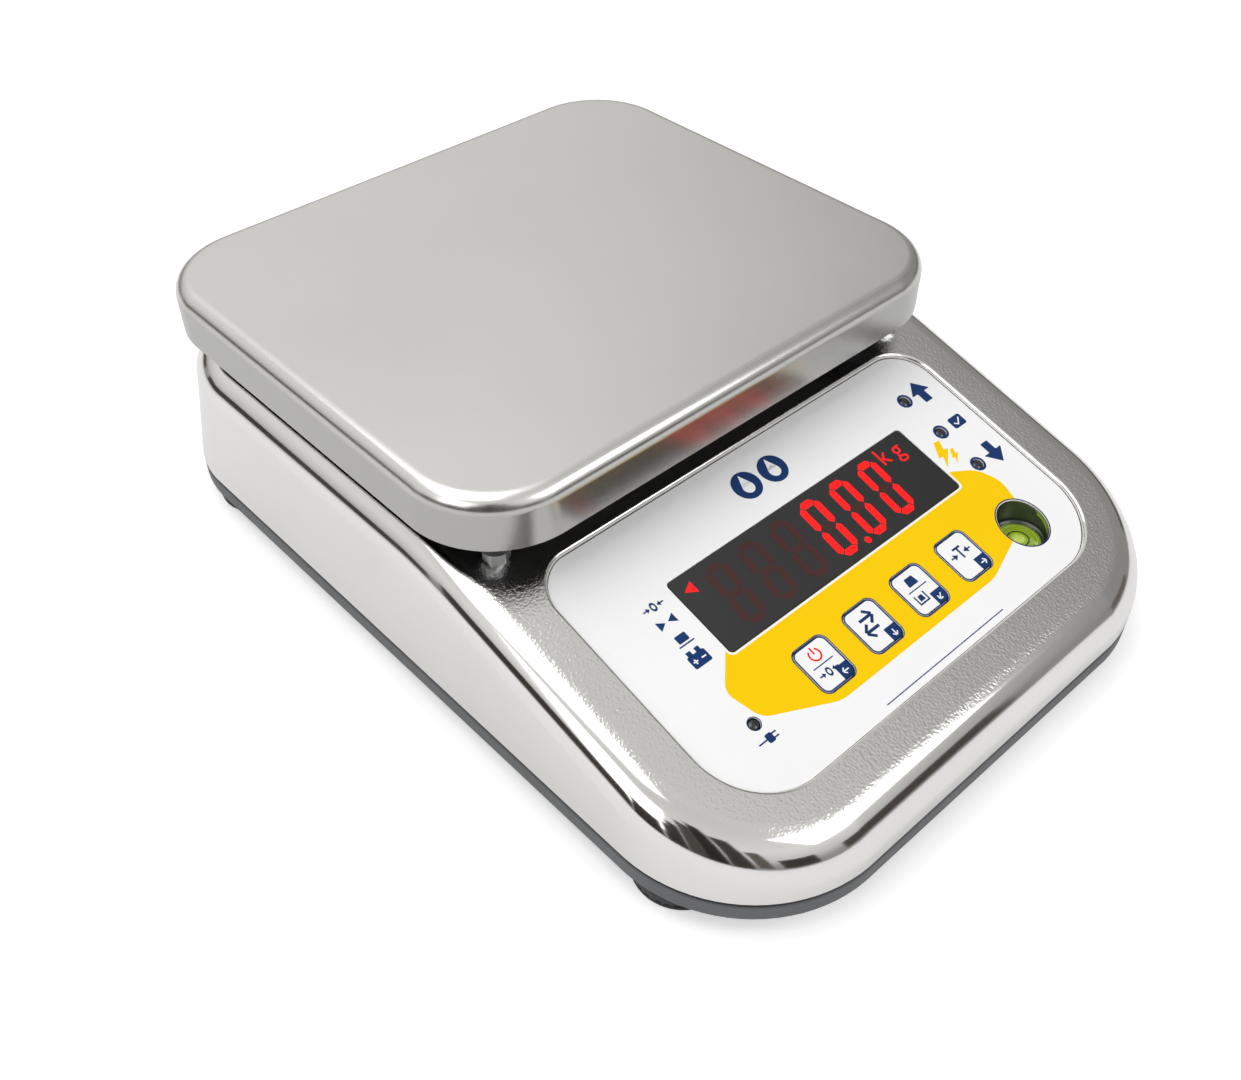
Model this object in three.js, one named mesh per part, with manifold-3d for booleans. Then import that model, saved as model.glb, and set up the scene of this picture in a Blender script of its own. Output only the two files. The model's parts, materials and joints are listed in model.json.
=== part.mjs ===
// Compact wash-down bench scale: a stainless weighing pan on a four-armed support, over a deep-drawn
// stainless housing with a sloped front console, closed from below by a moulded tray on levelling feet.
// Millimetres. X runs to the right of the person at the console, Y to the back, Z up, floor at Z = 0.
import * as THREE from "three";
import { mergeVertices } from "three/addons/utils/BufferGeometryUtils.js";
import Module from "manifold-3d";

const wasm = await Module();
wasm.setup();

// ---------------------------------------------------------------- driving dimensions
const BODY_W = 236;
const BODY_D = 340;
const FRONT_R = 54; // plan radius of the two front corners
const REAR_R = 50; // plan radius of the two rear corners
const REAR_LEAN = 15; // the rear wall leans forward by this much between its foot and the shoulder
const PAN_W = 230;
const PAN_D = 200;
const PAN_R = 34;
const PAN_RISE = 28; // pan's top above the deck
const PAN_SKIRT = 19.5;
const PAN_ROLL = 6;
const PAN_BACK = 121; // centre of the pan, from the rear wall
const SHEET = 1.5; // stainless sheet of housing and pan
const FIT = 0.3; // assembly gap between resting pieces
const SLIDE = 0.4; // gap round pieces that move
const TRAY_BOTTOM = 7.5;
const TRAY_H = 7.3;
const TRAY_FLOOR = 2;
const GASKET_H = 1.2;
const DECK_Z = 74; // flat rear deck
const SHOULDER = 12.5; // rounding between walls and top
const SLOPE = THREE.MathUtils.degToRad(15.5);
const PANEL_SET = 119; // the panel's origin, from the front wall
const PANEL_DROP = 9; // and below the deck
const PANEL_SUNK = 1.6; // the label sits this far below the border
const LABEL_T = 0.5;
const PANEL_W = 185.6;
const PANEL_BACK = 5.1; // along the slope, from the panel's origin
const PANEL_FRONT = -98.8;
const PANEL_R_BACK = 15;
const PANEL_R_FRONT = 26.5;
const WINDOW = { u: 1.2, v: -37.7, w: 118, h: 31, r: 1.5 };
const KEY = { w: 14.6, h: 17, r: 2.8, first: -35.8, pitch: 24.3, v: -73.7, travel: 0.45 };
const LAMP_R = 1.9;
const LAMPS = { lamp_high: [73.4, -14.5], lamp_mid: [73.9, -32.4], lamp_low: [74.4, -50.4] };
const CHARGE_LAMP = [-69.5, -75.1];
const LEVEL = { u: 67.4, v: -77.3, r: 9.7, depth: 8 };
const FOOT = { sideIn: 19, endIn: 46, r: 17, stud: 3.9, up: 0.5, down: 4 };
const CELL = { w: 30, l: 130, h: 22, z: 24.3 };
const ARM_IN = { x: 23, y: 19 }; // arm ends, in from the pan's edges
const ARM_T = 7;
const PAD_H = 6.9;
const SPIDER_RISE = 6.3; // the spider's hub above the deck
const STOP = { inX: 17.5, inY: 14.5, rearIn: 7, r: 4.6, rise: 2.9 };
const DECK_HOLE_R = 27;
const POST_R = 13;
const STOP_GAP = 0.3; // the arms may sink this far before they land on the overload stops

// ---------------------------------------------------------------- derived fits
const PAN_TOP = DECK_Z + PAN_RISE; // overall height
const PAN_Y = BODY_D / 2 - PAN_BACK;
const PANEL_Y = PANEL_SET - BODY_D / 2;
const PANEL_Z = DECK_Z - PANEL_DROP;
const FOOT_X = BODY_W / 2 - FOOT.sideIn;
const FOOT_Y = BODY_D / 2 - FOOT.endIn;
const ARM_X = PAN_W / 2 - ARM_IN.x;
const ARM_Y = PAN_D / 2 - ARM_IN.y;
const STOP_X = PAN_W / 2 - STOP.inX;
const STOP_Y = PAN_D / 2 - STOP.inY;
const STOP_TOP = DECK_Z + STOP.rise;
const TRAY_TOP = TRAY_BOTTOM + TRAY_H;
const GASKET_Z = TRAY_TOP + FIT;
const SHELL_BOTTOM = GASKET_Z + GASKET_H + FIT;
const SLOPE_T = Math.tan(SLOPE);
const BORDER_Z = PANEL_Z + PANEL_SUNK / Math.cos(SLOPE);
const BREAK_Y = PANEL_Y + (DECK_Z - BORDER_Z) / SLOPE_T;
const BREAK_L = 16; // half length of the blend between slope and deck
const FLOOR_N = -LABEL_T - FIT; // pocket floor, measured along the panel's normal
const PAN_UNDER = PAN_TOP - SHEET;
const PAD_TOP = PAN_UNDER - FIT;
const ARM_TOP = PAD_TOP - PAD_H - FIT;
const ARM_BOTTOM = ARM_TOP - ARM_T;
const SPIDER_BOTTOM = DECK_Z + SPIDER_RISE;
const CELL_TOP = CELL.z + CELL.h;
const CHASSIS_Z = TRAY_BOTTOM + TRAY_FLOOR + FIT;
const CHASSIS_T = 4;

// ---------------------------------------------------------------- materials
const colours = {
  stainless: [0xc9c9c6, 0.9, 0.25],
  cast: [0x2b2d30, 0.5, 0.5],
  alloy: [0xb9bcc0, 0.8, 0.45],
  zinc: [0xaeb2b6, 0.9, 0.35],
  tray: [0x8f9498, 0, 0.6],
  rubber: [0x141516, 0, 0.85],
  label: [0xf6f6f4, 0, 0.35],
  glass: [0x101012, 0, 0.08],
  board: [0x1f5a3a, 0, 0.6],
  resin: [0x26282b, 0, 0.5],
  lime: [0xa6d32a, 0, 0.2],
  clear: [0xdfeee4, 0, 0.05],
  copper: [0xb87333, 0.8, 0.4],
  battery: [0x2f5fa8, 0, 0.5],
};
const scale = new THREE.Group();

function place(name, shape, colour) {
  const [color, metalness, roughness] = colours[colour];
  const geometry = shape.isBufferGeometry ? shape : toGeometry(shape);
  const mesh = new THREE.Mesh(geometry, new THREE.MeshStandardMaterial({ color, metalness, roughness }));
  mesh.name = name;
  scale.add(mesh);
}

// ---------------------------------------------------------------- solids
function toSolid(geometry) {
  const bare = new THREE.BufferGeometry();
  bare.setAttribute("position", geometry.getAttribute("position"));
  bare.setIndex(geometry.index);
  const merged = mergeVertices(bare, 1e-4);
  const triVerts = new Uint32Array(merged.index.array);
  return new wasm.Manifold(
    new wasm.Mesh({ numProp: 3, vertProperties: merged.attributes.position.array, triVerts }),
  );
}

function toGeometry(solid) {
  const mesh = solid.getMesh();
  const geometry = new THREE.BufferGeometry();
  const positions = new Float32Array(mesh.vertProperties);
  geometry.setAttribute("position", new THREE.BufferAttribute(positions, 3));
  geometry.setIndex(new THREE.BufferAttribute(new Uint32Array(mesh.triVerts), 1));
  geometry.computeVertexNormals();
  return geometry;
}

const join = (first, ...rest) => rest.reduce((sum, next) => sum.add(next), first);
const cut = (first, ...rest) => rest.reduce((sum, next) => sum.subtract(next), first);

function box(x0, x1, y0, y1, z0, z1) {
  const block = new THREE.BoxGeometry(x1 - x0, y1 - y0, z1 - z0);
  block.translate((x0 + x1) / 2, (y0 + y1) / 2, (z0 + z1) / 2);
  return toSolid(block);
}

function rod(x, y, z0, z1, radius, sides = 32) {
  const cylinder = new THREE.CylinderGeometry(radius, radius, z1 - z0, sides);
  cylinder.rotateX(Math.PI / 2);
  cylinder.translate(x, y, (z0 + z1) / 2);
  return toSolid(cylinder);
}

// A turned piece about a vertical axis at (x, y): the profile runs [radius, height] from the axis and back.
function turned(profile, x = 0, y = 0, sides = 32) {
  const points = profile.map(([r, z]) => new THREE.Vector2(r, z));
  const lathe = new THREE.LatheGeometry(points, sides);
  lathe.rotateX(Math.PI / 2);
  lathe.translate(x, y, 0);
  return toSolid(lathe);
}

// A ring of a rounded rectangle, anticlockwise from above, with extra points along both long sides.
// Its rear corners stand forward by lean.
function ringOf({ w, d, front, rear, inset = 0, lean = 0, stations = [], segments = 7 }, yc, heightAt) {
  const ring = [];
  const hw = w / 2 - inset;
  const hd = d / 2 - inset;
  const corner = (cx, cy, radius, from) => {
    for (let i = 0; i <= segments; i++) {
      const a = from + (Math.PI / 2) * (i / segments);
      ring.push([cx + radius * Math.cos(a), cy + radius * Math.sin(a)]);
    }
  };
  const f = front - inset;
  const r = rear - inset;
  corner(-hw + f, -hd + f, f, Math.PI);
  corner(hw - f, -hd + f, f, 1.5 * Math.PI);
  stations.forEach((y) => ring.push([hw, y - yc]));
  corner(hw - r, hd - lean - r, r, 0);
  corner(-hw + r, hd - lean - r, r, 0.5 * Math.PI);
  [...stations].reverse().forEach((y) => ring.push([-hw, y - yc]));
  return ring.map(([x, y]) => [x, y + yc, heightAt(y + yc)]);
}

// A closed solid through rings made by ringOf, all with the same number of points.
function stackOf(rings, stationCount, segments = 7) {
  const n = rings[0].length;
  const position = rings.flat(2);
  const index = [];
  for (let k = 0; k + 1 < rings.length; k++) {
    for (let i = 0; i < n; i++) {
      const j = (i + 1) % n;
      const [a, b] = [k * n + i, k * n + j];
      const [c, d] = [(k + 1) * n + i, (k + 1) * n + j];
      index.push(a, b, d, a, d, c);
    }
  }
  const arc = segments + 1;
  const cap = [];
  for (let i = 1; i + 1 < 2 * arc; i++) cap.push([0, i, i + 1]);
  const right = [2 * arc - 1];
  const left = [0];
  for (let s = 0; s < stationCount; s++) {
    right.push(2 * arc + s);
    left.push(n - 1 - s);
  }
  right.push(2 * arc + stationCount);
  left.push(4 * arc + stationCount - 1);
  for (let s = 0; s + 1 < right.length; s++) {
    cap.push([left[s], right[s], right[s + 1]], [left[s], right[s + 1], left[s + 1]]);
  }
  const rear = 2 * arc + stationCount;
  for (let i = 1; i + 1 < 2 * arc; i++) cap.push([rear, rear + i, rear + i + 1]);
  const top = (rings.length - 1) * n;
  cap.forEach(([a, b, c]) => index.push(a, c, b, top + a, top + b, top + c));
  const geometry = new THREE.BufferGeometry();
  geometry.setAttribute("position", new THREE.BufferAttribute(new Float32Array(position), 3));
  geometry.setIndex(index);
  return toSolid(geometry);
}

// Rounded rectangle as a shape, its two ends (low and high Y) with radii of their own.
function plate(w, y0, y1, r0, r1) {
  const h = w / 2;
  const shape = new THREE.Shape();
  shape.moveTo(-h + r0, y0);
  shape.lineTo(h - r0, y0);
  shape.absarc(h - r0, y0 + r0, r0, 1.5 * Math.PI, 2 * Math.PI);
  shape.lineTo(h, y1 - r1);
  shape.absarc(h - r1, y1 - r1, r1, 0, 0.5 * Math.PI);
  shape.lineTo(-h + r1, y1);
  shape.absarc(-h + r1, y1 - r1, r1, 0.5 * Math.PI, Math.PI);
  shape.lineTo(-h, y0 + r0);
  shape.absarc(-h + r0, y0 + r0, r0, Math.PI, 1.5 * Math.PI);
  shape.steps = arcSteps(Math.max(r0, r1));
  return shape;
}

// Each quarter turn of an outline takes twice this many edges.
const arcSteps = (radius) => Math.max(1, Math.round(Math.sqrt(radius) * 0.8));

function prism(shape, z0, z1, segments) {
  const body = new THREE.ExtrudeGeometry(shape, {
    depth: z1 - z0,
    bevelEnabled: false,
    curveSegments: segments,
  });
  body.translate(0, 0, z0);
  return body;
}

// Panel frame: u to the right, v up the slope, n out of the panel.
const panelMatrix = new THREE.Matrix4().makeBasis(
  new THREE.Vector3(1, 0, 0),
  new THREE.Vector3(0, Math.cos(SLOPE), Math.sin(SLOPE)),
  new THREE.Vector3(0, -Math.sin(SLOPE), Math.cos(SLOPE)),
);
panelMatrix.setPosition(0, PANEL_Y, PANEL_Z);

function onPanel(shape, n0, n1, u = 0, v = 0) {
  const body = prism(shape, n0, n1, shape.steps);
  body.translate(u, v, 0);
  body.applyMatrix4(panelMatrix);
  return toSolid(body);
}

const block = (w, h, r) => plate(w, -h / 2, h / 2, r, r);

function disc(radius) {
  const shape = new THREE.Shape();
  shape.absarc(0, 0, radius, 0, 2 * Math.PI);
  shape.steps = 7;
  return shape;
}

function panelPoint(u, v, n = 0) {
  return new THREE.Vector3(u, v, n).applyMatrix4(panelMatrix);
}

// ---------------------------------------------------------------- housing
// Height of the top skin: the console slope, a smooth blend, then the flat deck.
function skin(y) {
  const line = BORDER_Z + (y - PANEL_Y) * SLOPE_T;
  if (y <= BREAK_Y - BREAK_L) return line;
  if (y >= BREAK_Y + BREAK_L) return DECK_Z;
  const t = (y - BREAK_Y + BREAK_L) / (2 * BREAK_L);
  return line - SLOPE_T * BREAK_L * t * t;
}

const BLEND = [0, 0.25, 0.5, 0.75, 1].map((t) => BREAK_Y - BREAK_L + 2 * BREAK_L * t);
const STATIONS = [-80, ...BLEND, 60];

function drawn(inset, bottom) {
  const body = { w: BODY_W, d: BODY_D, front: FRONT_R, rear: REAR_R, stations: STATIONS };
  const radius = SHOULDER - inset;
  const foot = (REAR_LEAN * (bottom - SHELL_BOTTOM)) / (DECK_Z - SHOULDER - SHELL_BOTTOM);
  const rings = [ringOf({ ...body, inset, lean: foot }, 0, () => bottom)];
  for (let i = 0; i <= 5; i++) {
    const a = (Math.PI / 2) * (i / 5);
    const sunk = inset + radius * (1 - Math.sin(a));
    const upper = { ...body, inset: inset + radius * (1 - Math.cos(a)), lean: REAR_LEAN };
    rings.push(ringOf(upper, 0, (y) => skin(y) - sunk));
  }
  return stackOf(rings, STATIONS.length);
}

const panelShape = (grow) =>
  plate(
    PANEL_W + 2 * grow,
    PANEL_FRONT - grow,
    PANEL_BACK + grow,
    PANEL_R_FRONT + grow,
    PANEL_R_BACK + grow,
  );
const keyCentre = (i) => [KEY.first + i * KEY.pitch, KEY.v];
const lampPlaces = [...Object.values(LAMPS), CHARGE_LAMP];
const levelTop = panelPoint(LEVEL.u, LEVEL.v);
const stopPlaces = {
  stop_screw_front_left: [-STOP_X, PAN_Y - STOP_Y],
  stop_screw_front_right: [STOP_X, PAN_Y - STOP_Y],
  stop_screw_rear_left: [STOP.rearIn - STOP_X, PAN_Y + STOP_Y - STOP.rearIn],
  stop_screw_rear_right: [STOP_X - STOP.rearIn, PAN_Y + STOP_Y - STOP.rearIn],
};
const BASE_SCREW = { x: BODY_W / 2 - 11, y: 50 };
const baseScrewPlaces = {
  base_screw_front_left: [-BASE_SCREW.x, -BASE_SCREW.y],
  base_screw_front_right: [BASE_SCREW.x, -BASE_SCREW.y],
  base_screw_rear_left: [-BASE_SCREW.x, BASE_SCREW.y],
  base_screw_rear_right: [BASE_SCREW.x, BASE_SCREW.y],
};
const TAB_Z = 22.5;

function housing() {
  const outer = drawn(0, SHELL_BOTTOM);
  const pocketWall = onPanel(panelShape(4), FLOOR_N - SHEET, PANEL_SUNK + 2).intersect(outer);
  let shell = join(cut(outer, drawn(SHEET, SHELL_BOTTOM - 1)), pocketWall);
  for (const [x, y] of Object.values(stopPlaces)) {
    shell = shell.add(rod(x, y, skin(y) - 6.5, skin(y) - 0.8, 5, 16));
    shell = cut(shell, rod(x, y, skin(y) - 12, skin(y) + 4, 3.1, 16));
  }
  for (const [x, y] of Object.values(baseScrewPlaces)) {
    const wall = Math.sign(x) * (BODY_W / 2 - SHEET / 2);
    const tab = box(Math.min(x * 0.93, wall), Math.max(x * 0.93, wall), y - 7, y + 7, TAB_Z, TAB_Z + 3);
    shell = cut(shell.add(tab), rod(x, y, TAB_Z - 1, TAB_Z + 4, 2.3, 16));
  }
  shell = cut(
    shell,
    onPanel(panelShape(FIT), FLOOR_N, PANEL_SUNK + 6),
    onPanel(block(WINDOW.w + 2 * FIT, WINDOW.h + 2 * FIT, WINDOW.r + FIT), -6, 1, WINDOW.u, WINDOW.v),
    rod(0, PAN_Y, DECK_Z - 8, DECK_Z + 4, DECK_HOLE_R, 36),
    rod(levelTop.x, levelTop.y, levelTop.z - 12, levelTop.z + 6, LEVEL.r),
  );
  for (let i = 0; i < 4; i++) {
    const gap = 2 * SLIDE;
    shell = cut(shell, onPanel(block(KEY.w + gap, KEY.h + gap, KEY.r + SLIDE), -6, 1, ...keyCentre(i)));
  }
  for (const [u, v] of lampPlaces) shell = cut(shell, onPanel(disc(LAMP_R + FIT), -6, 1, u, v));
  return shell;
}
place("housing_shell", housing(), "stainless");

// ---------------------------------------------------------------- console pieces
function label() {
  let sheet = onPanel(panelShape(0), -LABEL_T, 0);
  const window = block(WINDOW.w + 2 * FIT, WINDOW.h + 2 * FIT, WINDOW.r + FIT);
  sheet = cut(
    sheet,
    onPanel(window, -2, 1, WINDOW.u, WINDOW.v),
    rod(levelTop.x, levelTop.y, levelTop.z - 6, levelTop.z + 6, LEVEL.r),
  );
  for (let i = 0; i < 4; i++) {
    const gap = 2 * SLIDE;
    sheet = cut(sheet, onPanel(block(KEY.w + gap, KEY.h + gap, KEY.r + SLIDE), -2, 1, ...keyCentre(i)));
  }
  for (const [u, v] of lampPlaces) sheet = cut(sheet, onPanel(disc(LAMP_R + FIT), -2, 1, u, v));
  return sheet;
}
place("panel_label", label(), "label");

const UNDER_N = FLOOR_N - SHEET - FIT; // just below the pocket's floor
place(
  "display_window",
  onPanel(block(WINDOW.w, WINDOW.h, WINDOW.r), UNDER_N + FIT, 0, WINDOW.u, WINDOW.v),
  "glass",
);
place(
  "display_module",
  onPanel(block(WINDOW.w - 2, WINDOW.h - 2, 1), UNDER_N - 7.5, UNDER_N, WINDOW.u, WINDOW.v),
  "resin",
);
place(
  "display_board",
  onPanel(block(126, 37, 2), UNDER_N - 9.4, UNDER_N - 7.8, WINDOW.u, WINDOW.v),
  "board",
);

const keyNames = ["key_power", "key_unit", "key_net", "key_tare"];
keyNames.forEach((name, i) => {
  const cap = onPanel(block(KEY.w, KEY.h, KEY.r), UNDER_N + FIT, 0, ...keyCentre(i));
  place(name, cap, "label");
});

function keyBoard() {
  const middle = (keyCentre(0)[0] + keyCentre(3)[0]) / 2;
  let board = onPanel(block(96, 22, 2), UNDER_N - 3.6, UNDER_N - 2, middle, KEY.v);
  keyNames.forEach((_, i) => {
    board = board.add(onPanel(disc(3), UNDER_N - 2.5, UNDER_N + FIT - KEY.travel - 0.3, ...keyCentre(i)));
  });
  return board;
}
place("key_board", keyBoard(), "board");

for (const [name, [u, v]] of Object.entries({ ...LAMPS, lamp_charge: CHARGE_LAMP })) {
  place(name, onPanel(disc(LAMP_R), UNDER_N - 2.5, -0.1, u, v), "resin");
}

// ---------------------------------------------------------------- bubble level
// It hangs level under the sloped panel, so its tube is cut by the underside of the pocket.
const VIAL_TOP = levelTop.z - LEVEL.depth;
function levelCup() {
  const outer = LEVEL.r + 1.8;
  const bore = LEVEL.r;
  const floor = VIAL_TOP - 8.2;
  const tube = cut(
    rod(LEVEL.u, levelTop.y, floor, levelTop.z + 4, outer),
    rod(LEVEL.u, levelTop.y, floor + 1.5, levelTop.z + 6, bore),
  );
  return cut(tube, onPanel(block(60, 60, 1), UNDER_N, 30, LEVEL.u, LEVEL.v));
}
place("level_cup", levelCup(), "resin");
const BUBBLE_R = 2.6;
const fluidTop = VIAL_TOP - 1.5;
const dimple = turned(
  [
    [0, fluidTop - 1.1],
    [BUBBLE_R, fluidTop - 0.5],
    [BUBBLE_R + 0.3, fluidTop + 1],
    [0, fluidTop + 1],
  ],
  LEVEL.u,
  levelTop.y,
);
place(
  "level_fluid",
  cut(rod(LEVEL.u, levelTop.y, VIAL_TOP - 6.4, fluidTop, LEVEL.r - 0.6), dimple),
  "lime",
);
place(
  "level_bubble",
  turned(
    [
      [0, fluidTop - 0.75],
      [BUBBLE_R - 0.4, fluidTop - 0.3],
      [BUBBLE_R - 0.4, fluidTop - 0.1],
      [0, fluidTop + 0.05],
    ],
    LEVEL.u,
    levelTop.y,
  ),
  "clear",
);
place("level_lens", rod(LEVEL.u, levelTop.y, fluidTop + 0.35, VIAL_TOP, LEVEL.r - 0.4), "clear");

// ---------------------------------------------------------------- gasket and tray
const bodyOutline = { w: BODY_W, d: BODY_D, front: FRONT_R, rear: REAR_R };
function slab(inset, z0, z1) {
  const ring = { ...bodyOutline, inset };
  return stackOf([ringOf(ring, 0, () => z0), ringOf(ring, 0, () => z1)], 0);
}
place(
  "base_gasket",
  cut(slab(0.5, GASKET_Z, GASKET_Z + GASKET_H), slab(3.4, GASKET_Z - 1, GASKET_Z + 5)),
  "rubber",
);

const feet = {
  front_left: [-FOOT_X, -FOOT_Y],
  front_right: [FOOT_X, -FOOT_Y],
  rear_left: [-FOOT_X, FOOT_Y],
  rear_right: [FOOT_X, FOOT_Y],
};
const COIL = { x: 62, y: PAN_Y - 9, r: 26 };

function tray() {
  const rounded = [
    [1.6, TRAY_BOTTOM],
    [0.5, TRAY_BOTTOM + 0.5],
    [0, TRAY_BOTTOM + 1.8],
    [0, TRAY_TOP],
  ];
  const skinRings = rounded.map(([inset, z]) => ringOf({ ...bodyOutline, inset }, 0, () => z));
  const floor = TRAY_BOTTOM + TRAY_FLOOR;
  let body = cut(stackOf(skinRings, 0), slab(3, floor, TRAY_TOP + 1));
  for (const [x, y] of Object.values(baseScrewPlaces)) {
    body = body.add(rod(x, y, floor - 0.5, TAB_Z - FIT, 6, 16));
    body = cut(
      body,
      rod(x, y, TRAY_BOTTOM - 1, TAB_Z + 1, 2.3, 16),
      rod(x, y, TRAY_BOTTOM - 1, TRAY_BOTTOM + 3, 4.2, 16),
    );
  }
  for (const [x, y] of Object.values(feet)) body = cut(body, rod(x, y, 0, floor + 1, FOOT.stud + 1, 16));
  for (const [x, y] of boardPosts) body = body.add(rod(x, y, floor - 0.5, BOARD_Z - FIT, 3, 10));
  const dock = plate(64, -32, 32, 8, 8);
  const dockCut = prism(dock, TRAY_BOTTOM - 1, TRAY_BOTTOM + 0.8, 2);
  dockCut.translate(COIL.x - 8, COIL.y, 0);
  return cut(body, toSolid(dockCut));
}
const BOARD_Z = 20;
const BOARD = { x0: -96, x1: -30, y0: PAN_Y - 91, y1: PAN_Y + 49 };
const boardPosts = [
  [BOARD.x0 + 5, BOARD.y0 + 5],
  [BOARD.x1 - 5, BOARD.y0 + 5],
  [BOARD.x0 + 5, BOARD.y1 - 5],
  [BOARD.x1 - 5, BOARD.y1 - 5],
];
place("base_tray", tray(), "tray");

for (const [name, [x, y]] of Object.entries(baseScrewPlaces)) {
  const screw = [
    [0, TRAY_BOTTOM + 0.5],
    [3.8, TRAY_BOTTOM + 0.5],
    [3.8, TRAY_BOTTOM + 2.6],
    [2, TRAY_BOTTOM + 2.6],
    [2, TAB_Z + 4],
    [0, TAB_Z + 4],
  ];
  place(name, turned(screw, x, y, 16), "zinc");
}

// ---------------------------------------------------------------- feet
const SOLE_H = 2.3;
for (const [corner, [x, y]] of Object.entries(feet)) {
  const sole = [
    [0, 0],
    [FOOT.r - 1.2, 0],
    [FOOT.r - 0.4, 0.8],
    [FOOT.r - 0.4, SOLE_H],
    [0, SOLE_H],
  ];
  const foot = [
    [0, SOLE_H + FIT],
    [FOOT.r, SOLE_H + FIT],
    [FOOT.r, TRAY_BOTTOM - 1.4],
    [FOOT.r - 0.5, TRAY_BOTTOM - 0.9],
    [FOOT.stud, TRAY_BOTTOM - 0.9],
    [FOOT.stud, 24],
    [0, 24],
  ];
  place("sole_" + corner, turned(sole, x, y, 24), "rubber");
  place("foot_" + corner, turned(foot, x, y, 24), "resin");
}

// ---------------------------------------------------------------- chassis and load cell
const CELL_Y0 = PAN_Y - CELL.l / 2;
const CELL_Y1 = PAN_Y + CELL.l / 2;
const CELL_END = 34; // clamped length at each end
const cellBolts = { cell_bolt_outer: CELL_Y0 + 8, cell_bolt_inner: CELL_Y0 + 26 };
const liveBolts = { live_bolt_inner: CELL_Y1 - 26, live_bolt_outer: CELL_Y1 - 8 };

function chassis() {
  const z1 = CHASSIS_Z + CHASSIS_T;
  const beam = FOOT_X + 5;
  let frame = join(
    box(-22, 22, -FOOT_Y, FOOT_Y, CHASSIS_Z, z1),
    box(-beam, beam, -FOOT_Y - 12, -FOOT_Y + 12, CHASSIS_Z, z1),
    box(-beam, beam, FOOT_Y - 12, FOOT_Y + 12, CHASSIS_Z, z1),
    box(-17, 17, CELL_Y0, CELL_Y0 + CELL_END, z1 - 1, CELL.z - FIT),
  );
  for (const [x, y] of Object.values(feet)) {
    frame = frame.add(rod(x, y, CHASSIS_Z, 28, 8.5, 20));
    frame = cut(frame, rod(x, y, CHASSIS_Z - 1, 26, FOOT.stud + FIT, 16));
  }
  for (const y of Object.values(cellBolts)) {
    frame = cut(
      frame,
      rod(0, y, CHASSIS_Z - 1, CELL.z + 1, 3.4, 14),
      rod(0, y, CHASSIS_Z - 1, CHASSIS_Z + 5, 5.6, 16),
    );
  }
  return frame;
}
place("chassis", chassis(), "alloy");

function cell() {
  const hole = (y) => {
    const bore = new THREE.CylinderGeometry(7, 7, CELL.w + 4, 24);
    bore.rotateZ(Math.PI / 2);
    bore.translate(0, y, CELL.z + CELL.h / 2);
    return toSolid(bore);
  };
  const mid = CELL.z + CELL.h / 2;
  let body = cut(
    box(-CELL.w / 2, CELL.w / 2, CELL_Y0, CELL_Y1, CELL.z, CELL_TOP),
    hole(PAN_Y - 15),
    hole(PAN_Y + 15),
    box(-CELL.w, CELL.w, PAN_Y - 12, PAN_Y + 12, mid - 2, mid + 2),
  );
  for (const y of Object.values(cellBolts)) body = cut(body, rod(0, y, CELL.z - 1, CELL.z + 15, 3.3, 14));
  for (const y of Object.values(liveBolts)) body = cut(body, rod(0, y, CELL_TOP - 15, CELL_TOP + 1, 3.4, 14));
  return body;
}
place("load_cell", cell(), "alloy");
for (const [name, y] of Object.entries(cellBolts)) {
  const bolt = [
    [0, CHASSIS_Z + 0.4],
    [5, CHASSIS_Z + 0.4],
    [5, CHASSIS_Z + 4.7],
    [3, CHASSIS_Z + 4.7],
    [3, CELL.z + 14],
    [0, CELL.z + 14],
  ];
  place(name, turned(bolt, 0, y, 16), "zinc");
}

const BRACKET_Z = CELL_TOP + FIT;
const BRACKET_TOP = BRACKET_Z + 10;
function bracket() {
  let arm = join(
    box(-15, 15, CELL_Y1 - CELL_END, CELL_Y1, BRACKET_Z, BRACKET_TOP),
    box(-15, 15, PAN_Y - 18, CELL_Y1, BRACKET_Z + 4, BRACKET_TOP),
    rod(0, PAN_Y, BRACKET_Z + 5, SPIDER_BOTTOM - FIT, POST_R, 36),
  );
  for (const y of Object.values(liveBolts)) {
    arm = cut(
      arm,
      rod(0, y, BRACKET_Z - 1, BRACKET_TOP + 1, 3.4, 14),
      rod(0, y, BRACKET_TOP - 5, BRACKET_TOP + 1, 5.6, 16),
    );
  }
  return arm;
}
place("live_bracket", bracket(), "alloy");
for (const [name, y] of Object.entries(liveBolts)) {
  const bolt = [
    [0, CELL_TOP - 13.5],
    [3, CELL_TOP - 13.5],
    [3, BRACKET_TOP - 4.6],
    [5, BRACKET_TOP - 4.6],
    [5, BRACKET_TOP - 0.6],
    [0, BRACKET_TOP - 0.6],
  ];
  place(name, turned(bolt, 0, y, 16), "zinc");
}

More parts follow.
